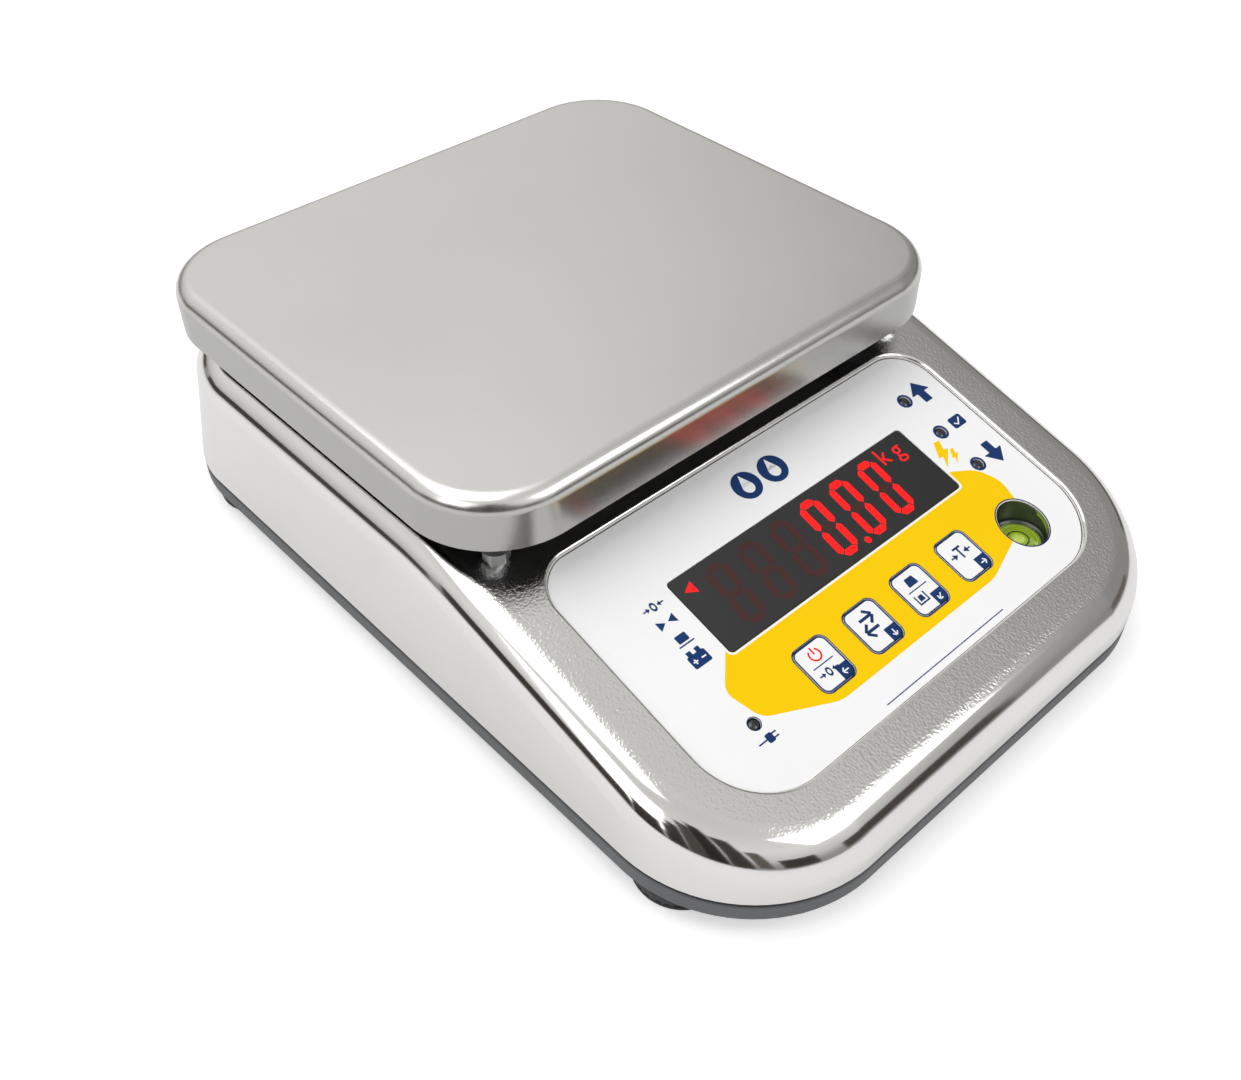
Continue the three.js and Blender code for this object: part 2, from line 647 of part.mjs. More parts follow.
// ---------------------------------------------------------------- spider, its pads and the overload stops
const armEnds = {
  front_left: [-ARM_X, PAN_Y - ARM_Y],
  front_right: [ARM_X, PAN_Y - ARM_Y],
  rear_left: [-ARM_X, PAN_Y + ARM_Y],
  rear_right: [ARM_X, PAN_Y + ARM_Y],
};
function spider() {
  let frame = rod(0, PAN_Y, SPIDER_BOTTOM, ARM_TOP, POST_R + 9, 40);
  for (const [x, y] of Object.values(armEnds)) {
    const length = Math.hypot(x, y - PAN_Y);
    const arm = new THREE.BoxGeometry(length, 16, ARM_TOP - ARM_BOTTOM);
    arm.translate(length / 2, 0, 0);
    arm.rotateZ(Math.atan2(y - PAN_Y, x));
    arm.translate(0, PAN_Y, (ARM_TOP + ARM_BOTTOM) / 2);
    frame = join(frame, toSolid(arm), rod(x, y, ARM_BOTTOM, ARM_TOP, 11, 20));
  }
  for (const [x, y] of Object.values(stopPlaces)) {
    frame = frame.add(rod(x, y, STOP_TOP + STOP_GAP, ARM_TOP, 5.6, 16));
  }
  return frame;
}
place("pan_support", spider(), "cast");
for (const [corner, [x, y]] of Object.entries(armEnds)) {
  const pad = [
    [0, ARM_TOP + FIT],
    [8, ARM_TOP + FIT],
    [8, PAD_TOP - 1.5],
    [6, PAD_TOP],
    [0, PAD_TOP],
  ];
  place("pad_" + corner, turned(pad, x, y, 20), "rubber");
}
for (const [name, [x, y]] of Object.entries(stopPlaces)) {
  const head = Math.min(STOP_TOP - 2.6, skin(y + STOP.r) + FIT + 0.2);
  const screw = join(rod(x, y, head, STOP_TOP, STOP.r, 6), rod(x, y, skin(y) - 10, head + 0.5, 2.7, 20));
  place(name, screw, "zinc");
}

// ---------------------------------------------------------------- seal round the post
const seal = turned(
  [
    [POST_R + SLIDE, DECK_Z + FIT],
    [DECK_HOLE_R + 6, DECK_Z + FIT],
    [DECK_HOLE_R + 6, DECK_Z + 1.5],
    [DECK_HOLE_R - 0.5, DECK_Z + 1.5],
    [DECK_HOLE_R - 3, DECK_Z + 4.2],
    [POST_R + 8, DECK_Z + 4.2],
    [POST_R + 5.5, DECK_Z + 1.5],
    [POST_R + 2.4, DECK_Z + 1.5],
    [POST_R + 2.4, DECK_Z + 5],
    [POST_R + SLIDE, DECK_Z + 5],
    [POST_R + SLIDE, DECK_Z + FIT],
  ],
  0,
  PAN_Y,
);
place("post_seal", seal, "rubber");
const ring = turned(
  [
    [DECK_HOLE_R + 0.6, DECK_Z + 1.8],
    [DECK_HOLE_R + 6, DECK_Z + 1.8],
    [DECK_HOLE_R + 6, DECK_Z + 3.2],
    [DECK_HOLE_R + 0.6, DECK_Z + 3.2],
    [DECK_HOLE_R + 0.6, DECK_Z + 1.8],
  ],
  0,
  PAN_Y,
);
place("seal_ring", ring, "stainless");

// ---------------------------------------------------------------- weighing pan
function pan() {
  const plan = { w: PAN_W, d: PAN_D, front: PAN_R, rear: PAN_R };
  const hollow = (inset, bottom) => {
    const radius = PAN_ROLL - inset;
    const top = PAN_TOP - inset;
    const rings = [ringOf({ ...plan, inset }, PAN_Y, () => bottom)];
    for (let i = 0; i <= 4; i++) {
      const a = (Math.PI / 2) * (i / 4);
      const z = top - radius * (1 - Math.sin(a));
      rings.push(ringOf({ ...plan, inset: inset + radius * (1 - Math.cos(a)) }, PAN_Y, () => z));
    }
    return stackOf(rings, 0);
  };
  return cut(hollow(0, PAN_TOP - PAN_SKIRT), hollow(SHEET, PAN_TOP - PAN_SKIRT - 1));
}
place("weighing_pan", pan(), "stainless");

// ---------------------------------------------------------------- electronics in the base
function mainBoard() {
  const top = BOARD_Z + 1.6;
  return join(
    box(BOARD.x0, BOARD.x1, BOARD.y0, BOARD.y1, BOARD_Z, top),
    box(-74, -52, BOARD.y0 + 2, BOARD.y0 + 8, top - 0.5, top + 5),
    box(-62, -46, PAN_Y - 39, PAN_Y - 23, top - 0.5, top + 2),
    box(-46, -34, PAN_Y - 5, PAN_Y + 11, top - 0.5, top + 6),
    box(-88, -76, PAN_Y + 11, PAN_Y + 35, top - 0.5, top + 4),
  );
}
place("main_board", mainBoard(), "board");
place("buzzer", rod(-80, PAN_Y - 29, BOARD_Z + 1.9, BOARD_Z + 10.5, 6, 28), "resin");
const BATTERY_TOP = 36;
const STRAP_Y = PANEL_Y - 17;
place("battery_pack", toSolid(batteryBody()), "battery");
function batteryBody() {
  const body = prism(plate(136, -24, 24, 3, 3), CHASSIS_Z + CHASSIS_T + FIT, BATTERY_TOP, 1);
  body.translate(0, PANEL_Y - 28, 0);
  return body;
}
place(
  "battery_strap",
  cut(
    box(-72.5, 72.5, STRAP_Y - 6, STRAP_Y + 6, CHASSIS_Z + CHASSIS_T + FIT, BATTERY_TOP + 1.6),
    box(-68.4, 68.4, STRAP_Y - 20, STRAP_Y + 20, 0, BATTERY_TOP + FIT),
  ),
  "zinc",
);
place(
  "charge_coil",
  cut(
    rod(COIL.x, COIL.y, CHASSIS_Z, CHASSIS_Z + 1.8, COIL.r, 36),
    rod(COIL.x, COIL.y, CHASSIS_Z - 1, CHASSIS_Z + 4, 10, 28),
  ),
  "copper",
);
place("coil_ferrite", rod(COIL.x, COIL.y, CHASSIS_Z + 2.1, CHASSIS_Z + 3.6, COIL.r + 2, 36), "resin");

// ---------------------------------------------------------------- leads
const leadPath = new THREE.CatmullRomCurve3([
  new THREE.Vector3(-15.4, PAN_Y - 43, 36),
  new THREE.Vector3(-22, PAN_Y - 43, 36),
  new THREE.Vector3(-34, PAN_Y - 39, 33),
  new THREE.Vector3(-44, PAN_Y - 32, BOARD_Z + 8.5),
  new THREE.Vector3(-50, PAN_Y - 29, BOARD_Z + 6),
]);
const lead = new THREE.ExtrudeGeometry(disc(1.6), {
  steps: 10,
  extrudePath: leadPath,
  bevelEnabled: false,
  curveSegments: 4,
});
place("cell_lead", toSolid(lead), "rubber");

function ribbon() {
  const line = [
    [PANEL_Y - 33, PANEL_Z - 23.4],
    [PANEL_Y - 27, PANEL_Z - 24.5],
    [PAN_Y - 101, PANEL_Z - 24.5],
    [PAN_Y - 94, BOARD_Z + 15],
    [PAN_Y - 87, BOARD_Z + 7.2],
  ];
  const thick = 0.8;
  const band = new THREE.Shape();
  line.forEach(([y, z], i) => (i ? band.lineTo(y, z) : band.moveTo(y, z)));
  [...line].reverse().forEach(([y, z]) => band.lineTo(y + 0.3, z + thick));
  const strip = new THREE.ExtrudeGeometry(band, { depth: 20, bevelEnabled: false });
  strip.rotateX(Math.PI / 2);
  strip.rotateZ(Math.PI / 2);
  strip.translate(-73, 0, 0);
  return toSolid(strip);
}
place("display_ribbon", ribbon(), "label");

export default scale;
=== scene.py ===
# %% [markdown]
# A compact bench scale for a wash-down kitchen or shop: a loose stainless pan over a deep-drawn
# stainless housing with a sloped console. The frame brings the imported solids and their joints. Each
# visible solid is then replaced by a finer piece, made from the same dimensions in millimetres, and
# moved to metres at the end. Hidden solids keep their shape and only get a finish.

# %% Load the frame
import json
from math import atan2, cos, hypot, pi, radians, sin, tan
import bmesh
import bpy
from mathutils import Matrix, Vector


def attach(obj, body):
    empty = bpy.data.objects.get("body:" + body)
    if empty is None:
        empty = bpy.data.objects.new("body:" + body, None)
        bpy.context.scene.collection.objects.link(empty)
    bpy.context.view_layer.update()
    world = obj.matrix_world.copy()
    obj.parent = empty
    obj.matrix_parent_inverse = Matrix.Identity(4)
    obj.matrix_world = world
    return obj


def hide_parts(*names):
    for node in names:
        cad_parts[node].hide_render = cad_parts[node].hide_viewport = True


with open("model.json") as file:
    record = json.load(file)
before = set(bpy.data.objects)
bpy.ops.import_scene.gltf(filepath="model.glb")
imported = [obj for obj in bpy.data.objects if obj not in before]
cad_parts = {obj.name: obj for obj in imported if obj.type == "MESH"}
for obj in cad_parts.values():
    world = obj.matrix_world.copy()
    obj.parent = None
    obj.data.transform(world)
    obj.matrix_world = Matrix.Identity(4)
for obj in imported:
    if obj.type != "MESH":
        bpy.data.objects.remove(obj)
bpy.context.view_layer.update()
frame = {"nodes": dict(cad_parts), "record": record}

# %% [markdown]
# The camera comes first, because every judgement of shape is made through it. It stands to the left
# of the person at the console and looks down over the pan's corner, at about 43 degrees.

# %% Camera
scene = bpy.context.scene
scene.view_settings.view_transform = "Standard"
camera_data = bpy.data.cameras.new("camera")
camera_data.lens = 38.03
camera_data.sensor_width = 36.0
camera_data.clip_start = 0.01
camera = bpy.data.objects.new("camera", camera_data)
camera.location = (-0.2702, -0.2810, 0.3581)
camera.rotation_euler = (radians(90 - 43.2), 0, radians(-42.7))
scene.collection.objects.link(camera)
scene.camera = camera
print("camera at", tuple(round(v, 3) for v in camera.location))

# %% [markdown]
# The scale's own dimensions, in millimetres, as a drawing office would list them. The console panel
# has a frame of its own: u to the right, v up the slope and n out of the panel.

# %% Dimensions
BODY = dict(w=236.0, d=340.0, front=54.0, rear=50.0)
SHOULDER = 12.5
SHEET = 1.5
DECK_Z = 74.0
SLOPE = radians(15.5)
PANEL_Y, PANEL_Z, PANEL_SUNK = -51.0, 65.0, 1.6
PANEL = dict(w=185.6, back=5.1, front=-98.8, r_back=15.0, r_front=26.5)
WINDOW = dict(u=1.2, v=-37.7, w=118.0, h=31.0, r=1.5)
KEY = dict(w=14.6, h=17.0, r=2.8, first=-35.8, pitch=24.3, v=-73.7)
LAMPS = dict(
    lamp_high=(73.4, -14.5), lamp_mid=(73.9, -32.4), lamp_low=(74.4, -50.4),
    lamp_charge=(-69.5, -75.1),
)
LEVEL = dict(u=67.4, v=-77.3, r=9.7, depth=8.0)
PAN = dict(w=230.0, d=200.0, r=34.0, y=49.0, top=102.0, skirt=19.5, roll=6.0)
TRAY_BOTTOM, TRAY_TOP, GASKET_TOP, SHELL_BOTTOM = 7.5, 14.8, 16.3, 16.6
FLOOR_N = -0.8
REAR_LEAN = 15.0
POST_HOLE_R = 27.0
STOP_HEAD, STOP_TOP, ARM_TOP = 74.3, 76.9, 93.0


def four_corners(x, front_y, rear_y, rear_x=None):
    """A place at each corner, the same on the left and on the right."""
    back = rear_x or x
    return dict(
        front_left=(-x, front_y), front_right=(x, front_y),
        rear_left=(-back, rear_y), rear_right=(back, rear_y),
    )


STOPS = four_corners(97.5, -36.5, 127.5, rear_x=90.5)
ARM_ENDS = four_corners(92, -32, 130)
FEET = four_corners(99, -124, 124)

border_z = PANEL_Z + PANEL_SUNK / cos(SLOPE)
break_y = PANEL_Y + (DECK_Z - border_z) / tan(SLOPE)
BREAK_L = 16.0
panel_frame = Matrix.Translation((0, PANEL_Y, PANEL_Z)) @ Matrix.Rotation(SLOPE, 4, "X")
level_centre = panel_frame @ Vector((LEVEL["u"], LEVEL["v"], 0))
print("slope meets deck at y =", round(break_y, 2))


def skin(y):
    """Height of the housing's top: the console slope, a smooth blend, then the flat deck."""
    line = border_z + (y - PANEL_Y) * tan(SLOPE)
    if y <= break_y - BREAK_L:
        return line
    if y >= break_y + BREAK_L:
        return DECK_Z
    t = (y - break_y + BREAK_L) / (2 * BREAK_L)
    return line - tan(SLOPE) * BREAK_L * t * t


# %% [markdown]
# Finishes. Stainless sheet is never a perfect mirror: rolling leaves a fine grain, drawing leaves a
# slight ripple, and handling leaves soft patches. Each of these is one node group that several
# materials share, so that the metal reads as one family with different values.

# %% Node helpers
def add_node(tree, kind, inputs=None, **settings):
    """A shader node with its settings, and a value or a link for each input that is named."""
    made = tree.nodes.new("ShaderNode" + kind)
    for name, value in settings.items():
        setattr(made, name, value)
    for name, value in (inputs or {}).items():
        if isinstance(value, bpy.types.NodeSocket):
            tree.links.new(value, made.inputs[name])
        else:
            made.inputs[name].default_value = value
    return made


def new_group(name, inputs, outputs):
    """An empty node group with float or vector inputs and outputs."""
    group = bpy.data.node_groups.new(name, "ShaderNodeTree")
    for label, value in inputs.items():
        kind = "NodeSocketFloat" if isinstance(value, float) else "NodeSocketVector"
        socket = group.interface.new_socket(label, in_out="INPUT", socket_type=kind)
        socket.default_value = value
    for label in outputs:
        group.interface.new_socket(label, in_out="OUTPUT", socket_type="NodeSocketFloat")
    source = group.nodes.new("NodeGroupInput")
    sink = group.nodes.new("NodeGroupOutput")
    return group, source, sink


def remap(tree, value, low, high, to_low, to_high):
    names = {"Value": value, "From Min": low, "From Max": high, "To Min": to_low, "To Max": to_high}
    return add_node(tree, "MapRange", names).outputs["Result"]


def math(tree, operation, a, b):
    return add_node(tree, "Math", {0: a, 1: b}, operation=operation).outputs[0]


def mix(tree, factor, first, second):
    """The first colour where the factor is 0, the second where it is 1."""
    return add_node(tree, "Mix", {0: factor, 6: first, 7: second}, data_type="RGBA").outputs[2]


# %% Brushed grain, one way or the other
def make_grain():
    """Noise stretched hard along one direction: the lines a sanding belt leaves."""
    inputs = {"Stretch": (1.0, 1.0, 1.0), "Contrast": 1.0}
    group, source, sink = new_group("brushed_grain", inputs, ["Height"])
    place = add_node(group, "TexCoord").outputs["Object"]
    scaled = add_node(group, "VectorMath", {0: place, 1: source.outputs["Stretch"]}, operation="MULTIPLY")
    noise = {"Vector": scaled.outputs[0], "Scale": 1.0, "Detail": 4.0, "Roughness": 0.65}
    fine = add_node(group, "TexNoise", noise)
    centred = math(group, "SUBTRACT", fine.outputs[0], 0.5)
    group.links.new(math(group, "MULTIPLY", centred, source.outputs["Contrast"]), sink.inputs["Height"])
    return group


def make_ripple():
    """The orange-peel ripple of drawn and polished sheet."""
    group, source, sink = new_group("drawn_ripple", {"Scale": 900.0, "Contrast": 1.0}, ["Height"])
    place = add_node(group, "TexCoord").outputs["Object"]
    peel = add_node(group, "TexNoise", {"Vector": place, "Scale": source.outputs["Scale"], "Detail": 2.0})
    centred = math(group, "SUBTRACT", peel.outputs[0], 0.5)
    group.links.new(math(group, "MULTIPLY", centred, source.outputs["Contrast"]), sink.inputs["Height"])
    return group


def make_patches():
    """Slow, soft patches, as hands, cloths and drying water leave them."""
    group, source, sink = new_group("handling_patches", {"Scale": 14.0, "Low": 0.2, "High": 0.3}, ["Value"])
    place = add_node(group, "TexCoord").outputs["Object"]
    cloud = add_node(group, "TexNoise", {"Vector": place, "Scale": source.outputs["Scale"], "Detail": 5.0})
    spread = remap(group, cloud.outputs[0], 0.3, 0.7, source.outputs["Low"], source.outputs["High"])
    group.links.new(spread, sink.inputs["Value"])
    return group


grain_group, ripple_group, patch_group = make_grain(), make_ripple(), make_patches()


def use_group(tree, group, **values):
    made = tree.nodes.new("ShaderNodeGroup")
    made.node_tree = group
    for name, value in values.items():
        made.inputs[name].default_value = value
    return made.outputs[0]


def new_material(name, **sockets):
    """A material with one Principled shader, its plain values set on the shader's own sockets."""
    made = bpy.data.materials.new(name)
    made.use_nodes = True
    shader = made.node_tree.nodes["Principled BSDF"]
    for label, value in sockets.items():
        shader.inputs[label.replace("_", " ")].default_value = value
    return made, made.node_tree, shader


def bump(tree, shader, height, strength=0.2, distance=0.0001):
    made = add_node(tree, "Bump", {"Strength": strength, "Distance": distance, "Height": height})
    tree.links.new(made.outputs[0], shader.inputs["Normal"])


print("node groups:", grain_group.name, ripple_group.name, patch_group.name)

# %% [markdown]
# The housing is polished all over, but not evenly. The rounded shoulders are buffed bright, the flat
# border keeps a satin ripple, and the walls keep faint grain. The way a surface faces picks its
# finish, so one material covers the whole drawn shell.

# %% Stainless finishes
def polished_stainless():
    made, tree, shader = new_material("polished_stainless", Metallic=1.0)
    facing = add_node(tree, "TexCoord").outputs["Normal"]
    lean = add_node(tree, "VectorMath", {0: facing, 1: (0, -sin(SLOPE), cos(SLOPE))}, operation="DOT_PRODUCT")
    upward = add_node(tree, "SeparateXYZ", {0: facing}).outputs["Z"]
    flat = remap(tree, lean.outputs["Value"], 0.965, 0.995, 0.0, 1.0)
    wall = remap(tree, math(tree, "ABSOLUTE", upward, 0.0), 0.03, 0.2, 1.0, 0.0)
    patches = use_group(tree, patch_group, Scale=16.0, Low=0.075, High=0.115)
    satin = math(tree, "MULTIPLY", flat, 0.06)
    drawn = math(tree, "MULTIPLY", wall, 0.10)
    tree.links.new(math(tree, "ADD", math(tree, "ADD", patches, satin), drawn), shader.inputs["Roughness"])
    tone = use_group(tree, patch_group, Scale=9.0, Low=0.0, High=1.0)
    colour = mix(tree, tone, (0.80, 0.79, 0.77, 1), (0.86, 0.85, 0.835, 1))
    tree.links.new(colour, shader.inputs["Base Color"])
    orange_peel = use_group(tree, ripple_group, Scale=1050.0, Contrast=1.0)
    peel = math(tree, "MULTIPLY", orange_peel, math(tree, "MULTIPLY", flat, 4.0))
    slow = use_group(tree, ripple_group, Scale=120.0, Contrast=0.5)
    lines = math(tree, "MULTIPLY", use_group(tree, grain_group, Stretch=(60, 60, 2600), Contrast=0.3), wall)
    bump(tree, shader, math(tree, "ADD", math(tree, "ADD", peel, slow), lines), 0.55, 0.00006)
    return made


def brushed_stainless():
    made, tree, shader = new_material("brushed_stainless", Metallic=1.0)
    facing = add_node(tree, "TexCoord").outputs["Normal"]
    upward = add_node(tree, "SeparateXYZ", {0: facing}).outputs["Z"]
    top = remap(tree, upward, 0.90, 0.995, 0.0, 1.0)
    patches = use_group(tree, patch_group, Scale=11.0, Low=0.20, High=0.25)
    rough = math(tree, "ADD", patches, math(tree, "MULTIPLY", top, 0.14))
    tree.links.new(rough, shader.inputs["Roughness"])
    tone = use_group(tree, patch_group, Scale=5.0, Low=0.0, High=1.0)
    fine = use_group(tree, grain_group, Stretch=(2400, 70, 2400), Contrast=1.0)
    shade = math(tree, "ADD", tone, math(tree, "MULTIPLY", fine, 0.6))
    colour = mix(tree, shade, (0.75, 0.74, 0.715, 1), (0.81, 0.80, 0.775, 1))
    # Painted shade: faces that stand upright, the pan's skirt, are mixed to a much darker metal colour
    # (0.46), standing in for the darker reflection the skirt shows.
    upright = remap(tree, upward, 0.05, 0.6, 1.0, 0.0)
    tree.links.new(mix(tree, upright, colour, (0.46, 0.455, 0.44, 1)), shader.inputs["Base Color"])
    coarse = use_group(tree, grain_group, Stretch=(600, 16, 600), Contrast=0.6)
    bump(tree, shader, math(tree, "ADD", fine, coarse), 0.25, 0.00005)
    return made


polished, brushed = polished_stainless(), brushed_stainless()

# %% [markdown]
# Everything else is plastic, rubber, film or cast and plated metal. One recipe covers them: a tone
# that drifts a little, roughness that drifts with it, and a fine texture at the size of the mould's
# or the paint's grain.

# %% Plain finishes
def moulded(name, colour, rough, texture=1800.0, depth=0.15, drift=0.12, metallic=0.0, coat=0.0):
    """A finish with a drifting tone, drifting roughness and a fine moulded texture."""
    made, tree, shader = new_material(name, Metallic=metallic, Coat_Weight=coat)
    shader.inputs["Coat Roughness"].default_value = 0.08
    tone = use_group(tree, patch_group, Scale=22.0, Low=0.0, High=1.0)
    dark = [c * (1 - drift) for c in colour] + [1]
    light = [min(1.0, c * (1 + drift)) for c in colour] + [1]
    tree.links.new(mix(tree, tone, dark, light), shader.inputs["Base Color"])
    spread = use_group(tree, patch_group, Scale=30.0, Low=rough * 0.88, High=min(1.0, rough * 1.12))
    tree.links.new(spread, shader.inputs["Roughness"])
    bump(tree, shader, use_group(tree, ripple_group, Scale=texture, Contrast=1.0), depth, 0.00005)
    return made


def lit(name, colour, strength):
    made, tree, shader = new_material(name, Roughness=0.35, Emission_Strength=strength)
    pale = tuple(c * 0.92 for c in colour) + (1,)
    tone = use_group(tree, patch_group, Scale=180.0, Low=0.0, High=1.0)
    tree.links.new(mix(tree, tone, pale, (*colour, 1)), shader.inputs["Emission Color"])
    shader.inputs["Base Color"].default_value = (*[c * 0.3 for c in colour], 1)
    return made


film_white = moulded("film_white", (0.965, 0.965, 0.965), 0.42, 2600, 0.05, 0.012)
ink_yellow = moulded("ink_yellow", (1.0, 0.635, 0.0), 0.42, 2600, 0.05, 0.012)
ink_navy = moulded("ink_navy", (0.012, 0.042, 0.155), 0.42, 2600, 0.05, 0.06)
ink_red = moulded("ink_red", (0.87, 0.02, 0.02), 0.42, 2600, 0.05, 0.03)
for ink in (ink_yellow, ink_navy, ink_red):
    ink.node_tree.nodes["Principled BSDF"].inputs["Specular IOR Level"].default_value = 0.1
window_dark = moulded("window_dark", (0.011, 0.010, 0.011), 0.22, 900, 0.02, 0.2, coat=0.6)
segment_off = moulded("segment_off", (0.052, 0.012, 0.010), 0.35, 900, 0.02, 0.1)
segment_lit = lit("segment_lit", (1.0, 0.0, 0.0), 0.95)
lamp_lens = moulded("lamp_lens", (0.008, 0.010, 0.016), 0.15, 1500, 0.03, 0.2, coat=0.8)
tray_plastic = moulded("tray_plastic", (0.115, 0.120, 0.125), 0.5, 2200, 0.25, 0.05)
black_rubber = moulded("black_rubber", (0.012, 0.012, 0.013), 0.62, 2600, 0.3, 0.15)
dark_resin = moulded("dark_resin", (0.020, 0.021, 0.024), 0.42, 2000, 0.2, 0.12)
# Painted shade: the pan's underside gets a near-black metal colour, standing in for the shade under the pan
# and in its reflection on the deck.
underside_painted_dark = moulded("underside_painted_dark", (0.055, 0.054, 0.052), 0.6, 1500, 0.2, 0.15, metallic=0.6)
black_casting = moulded("black_casting", (0.016, 0.017, 0.019), 0.48, 1300, 0.5, 0.12)
zinc_steel = moulded("zinc_steel", (0.62, 0.63, 0.64), 0.30, 1500, 0.15, 0.06, metallic=1.0)
bare_alloy = moulded("bare_alloy", (0.66, 0.67, 0.69), 0.38, 1200, 0.25, 0.06, metallic=1.0)
circuit_board = moulded("circuit_board", (0.02, 0.12, 0.05), 0.35, 900, 0.1, 0.15, coat=0.3)
copper_wire = moulded("copper_wire", (0.72, 0.30, 0.14), 0.35, 1600, 0.2, 0.1, metallic=1.0)
battery_wrap = moulded("battery_wrap", (0.03, 0.11, 0.36), 0.3, 900, 0.1, 0.08, coat=0.4)
vial_black = moulded("vial_black", (0.010, 0.018, 0.012), 0.3, 1200, 0.05, 0.15, coat=0.5)
level_lime = moulded("level_lime", (0.36, 0.55, 0.02), 0.12, 600, 0.02, 0.10, coat=0.9)
bubble_lime = moulded("bubble_lime", (0.62, 0.80, 0.12), 0.08, 600, 0.02, 0.08, coat=1.0)
well_green = moulded("well_green", (0.035, 0.055, 0.035), 0.3, 1200, 0.05, 0.2, coat=0.4)
print(len(bpy.data.materials), "materials")

# %% [markdown]
# Hidden solids, such as the load cell and the boards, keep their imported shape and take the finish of
# their slot. This also makes sure that no solid is ever left without a finish.

# %% Finish by slot
SLOT_FINISH = dict(
    stainless=polished, label=film_white, window_glass=window_dark, dark_resin=dark_resin,
    circuit_board=circuit_board, level_liquid=level_lime, clear_glass=bubble_lime, black_rubber=black_rubber,
    tray_plastic=tray_plastic, zinc_steel=zinc_steel, bare_alloy=bare_alloy, black_casting=black_casting,
    copper_coil=copper_wire, battery_wrap=battery_wrap,
)
slot_of = {part["node"]: part["material_slot"] for part in frame["record"]["subparts"]}
for node_name, solid in frame["nodes"].items():
    solid.data.materials.clear()
    solid.data.materials.append(SLOT_FINISH[slot_of[node_name]])
print(len(frame["nodes"]), "packed solids finished")

# %% [markdown]
# A finished mesh becomes a piece in four moves: it goes from millimetres to metres, sharp edges are
# marked by angle, the edges are eased by a small Bevel modifier, and the piece is told which body it
# rides on, while the imported solid it stands for is hidden. Weighted normals keep flat sheet flat in
# reflections.

# %% From mesh to piece
def placed(name, bm, material=None):
    """An object in the scene with the mesh's shape and one finish."""
    mesh = bpy.data.meshes.new(name)
    bm.to_mesh(mesh)
    if material:
        mesh.materials.append(material)
    made = bpy.data.objects.new(name, mesh)
    scene.collection.objects.link(made)
    return made


def as_piece(
    name, bm, material, body, stands_for=(), slot="label", ease=0.0, wall=0.0, sharp=32, inside=None,
):
    bm.transform(Matrix.Scale(0.001, 4))
    bm.normal_update()
    for edge in bm.edges:
        edge.smooth = len(edge.link_faces) == 2 and edge.calc_face_angle(0.0) < radians(sharp)
    for face in bm.faces:
        face.smooth = True
    piece = placed(name, bm, material)
    bm.free()
    if wall:
        thick = piece.modifiers.new("wall", "SOLIDIFY")
        thick.thickness = wall / 1000
        thick.offset = -1
        if inside:
            piece.data.materials.append(inside)
            thick.material_offset = 1
    if ease:
        eased = piece.modifiers.new("eased_edges", "BEVEL")
        eased.width = ease / 1000
        eased.segments = 3
        eased.limit_method = "ANGLE"
        eased.angle_limit = radians(sharp + 6)
    flat = piece.modifiers.new("weighted_normals", "WEIGHTED_NORMAL")
    flat.keep_sharp = True
    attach(piece, body)
    if stands_for:
        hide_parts(*stands_for)
    return piece


def face_out(bm):
    bmesh.ops.remove_doubles(bm, verts=bm.verts, dist=0.0005)
    bmesh.ops.recalc_face_normals(bm, faces=bm.faces)


def at(x, y, z=0.0):
    return Matrix.Translation((x, y, z))


def loop_edges(verts):
    """The edges that join these points to each other."""
    chosen = set(verts)
    linked = {e for v in verts for e in v.link_edges}
    return [e for e in linked if e.verts[0] in chosen and e.verts[1] in chosen]


def thicken(bm, faces, vec):
    """Turns flat faces into a solid: they stay, and a copy of them moves by vec."""
    made = bmesh.ops.extrude_face_region(bm, geom=faces, use_keep_orig=True)
    fresh = [g for g in made["geom"] if isinstance(g, bmesh.types.BMVert)]
    bmesh.ops.translate(bm, verts=fresh, vec=vec)


def boss(bm, x, y, z0, z1, radius, sides=40):
    """A solid cylinder on a vertical axis. Its points are returned."""
    return bmesh.ops.create_cone(
        bm, cap_ends=True, segments=sides, radius1=radius, radius2=radius, depth=z1 - z0,
        matrix=at(x, y, (z0 + z1) / 2),
    )["verts"]


# %% [markdown]
# Almost every outline here is a rectangle with round corners: the housing, the pan, the panel and
# the keys. Such an outline is a circle whose four quarters are pushed out to the corners. Rings of
# this kind, bridged one to the next, give a drawn shell exactly the rounding that the press tool has.

# %% Rounded outlines and lofts
def rounded_ring(bm, w, y0, y1, r0, r1, inset=0.0, steps=14, side_cuts=0):
    """A ring of edges at z = 0: a circle whose quarters are pushed out to four corners."""
    made = list(bmesh.ops.create_circle(bm, cap_ends=False, segments=4 * steps, radius=1.0)["verts"])
    half_step = pi / (4 * steps)
    bmesh.ops.rotate(bm, verts=made, cent=(0, 0, 0), matrix=Matrix.Rotation(half_step, 3, "Z"))
    for vert in made:
        right, back = vert.co.x > 0, vert.co.y > 0
        radius = r1 if back else r0
        reach = (radius - inset) / cos(half_step)
        centre_x = (w / 2 - radius) * (1 if right else -1)
        centre_y = y1 - radius if back else y0 + radius
        vert.co = (centre_x + vert.co.x * reach, centre_y + vert.co.y * reach, 0)
    edges = loop_edges(made)
    if side_cuts:
        half = w / 2 - inset - 0.01
        sides = [e for e in edges if all(abs(v.co.x) > half for v in e.verts) and e.calc_length() > 5]
        for side in sides:
            end, far = side.verts
            for left in range(side_cuts, 0, -1):
                end = bmesh.utils.edge_split(side, end, 1 / (left + 1))[1]
                side = next(e for e in end.link_edges if e.other_vert(end) == far)
                made.append(end)
        edges = loop_edges(made)
    return made, edges


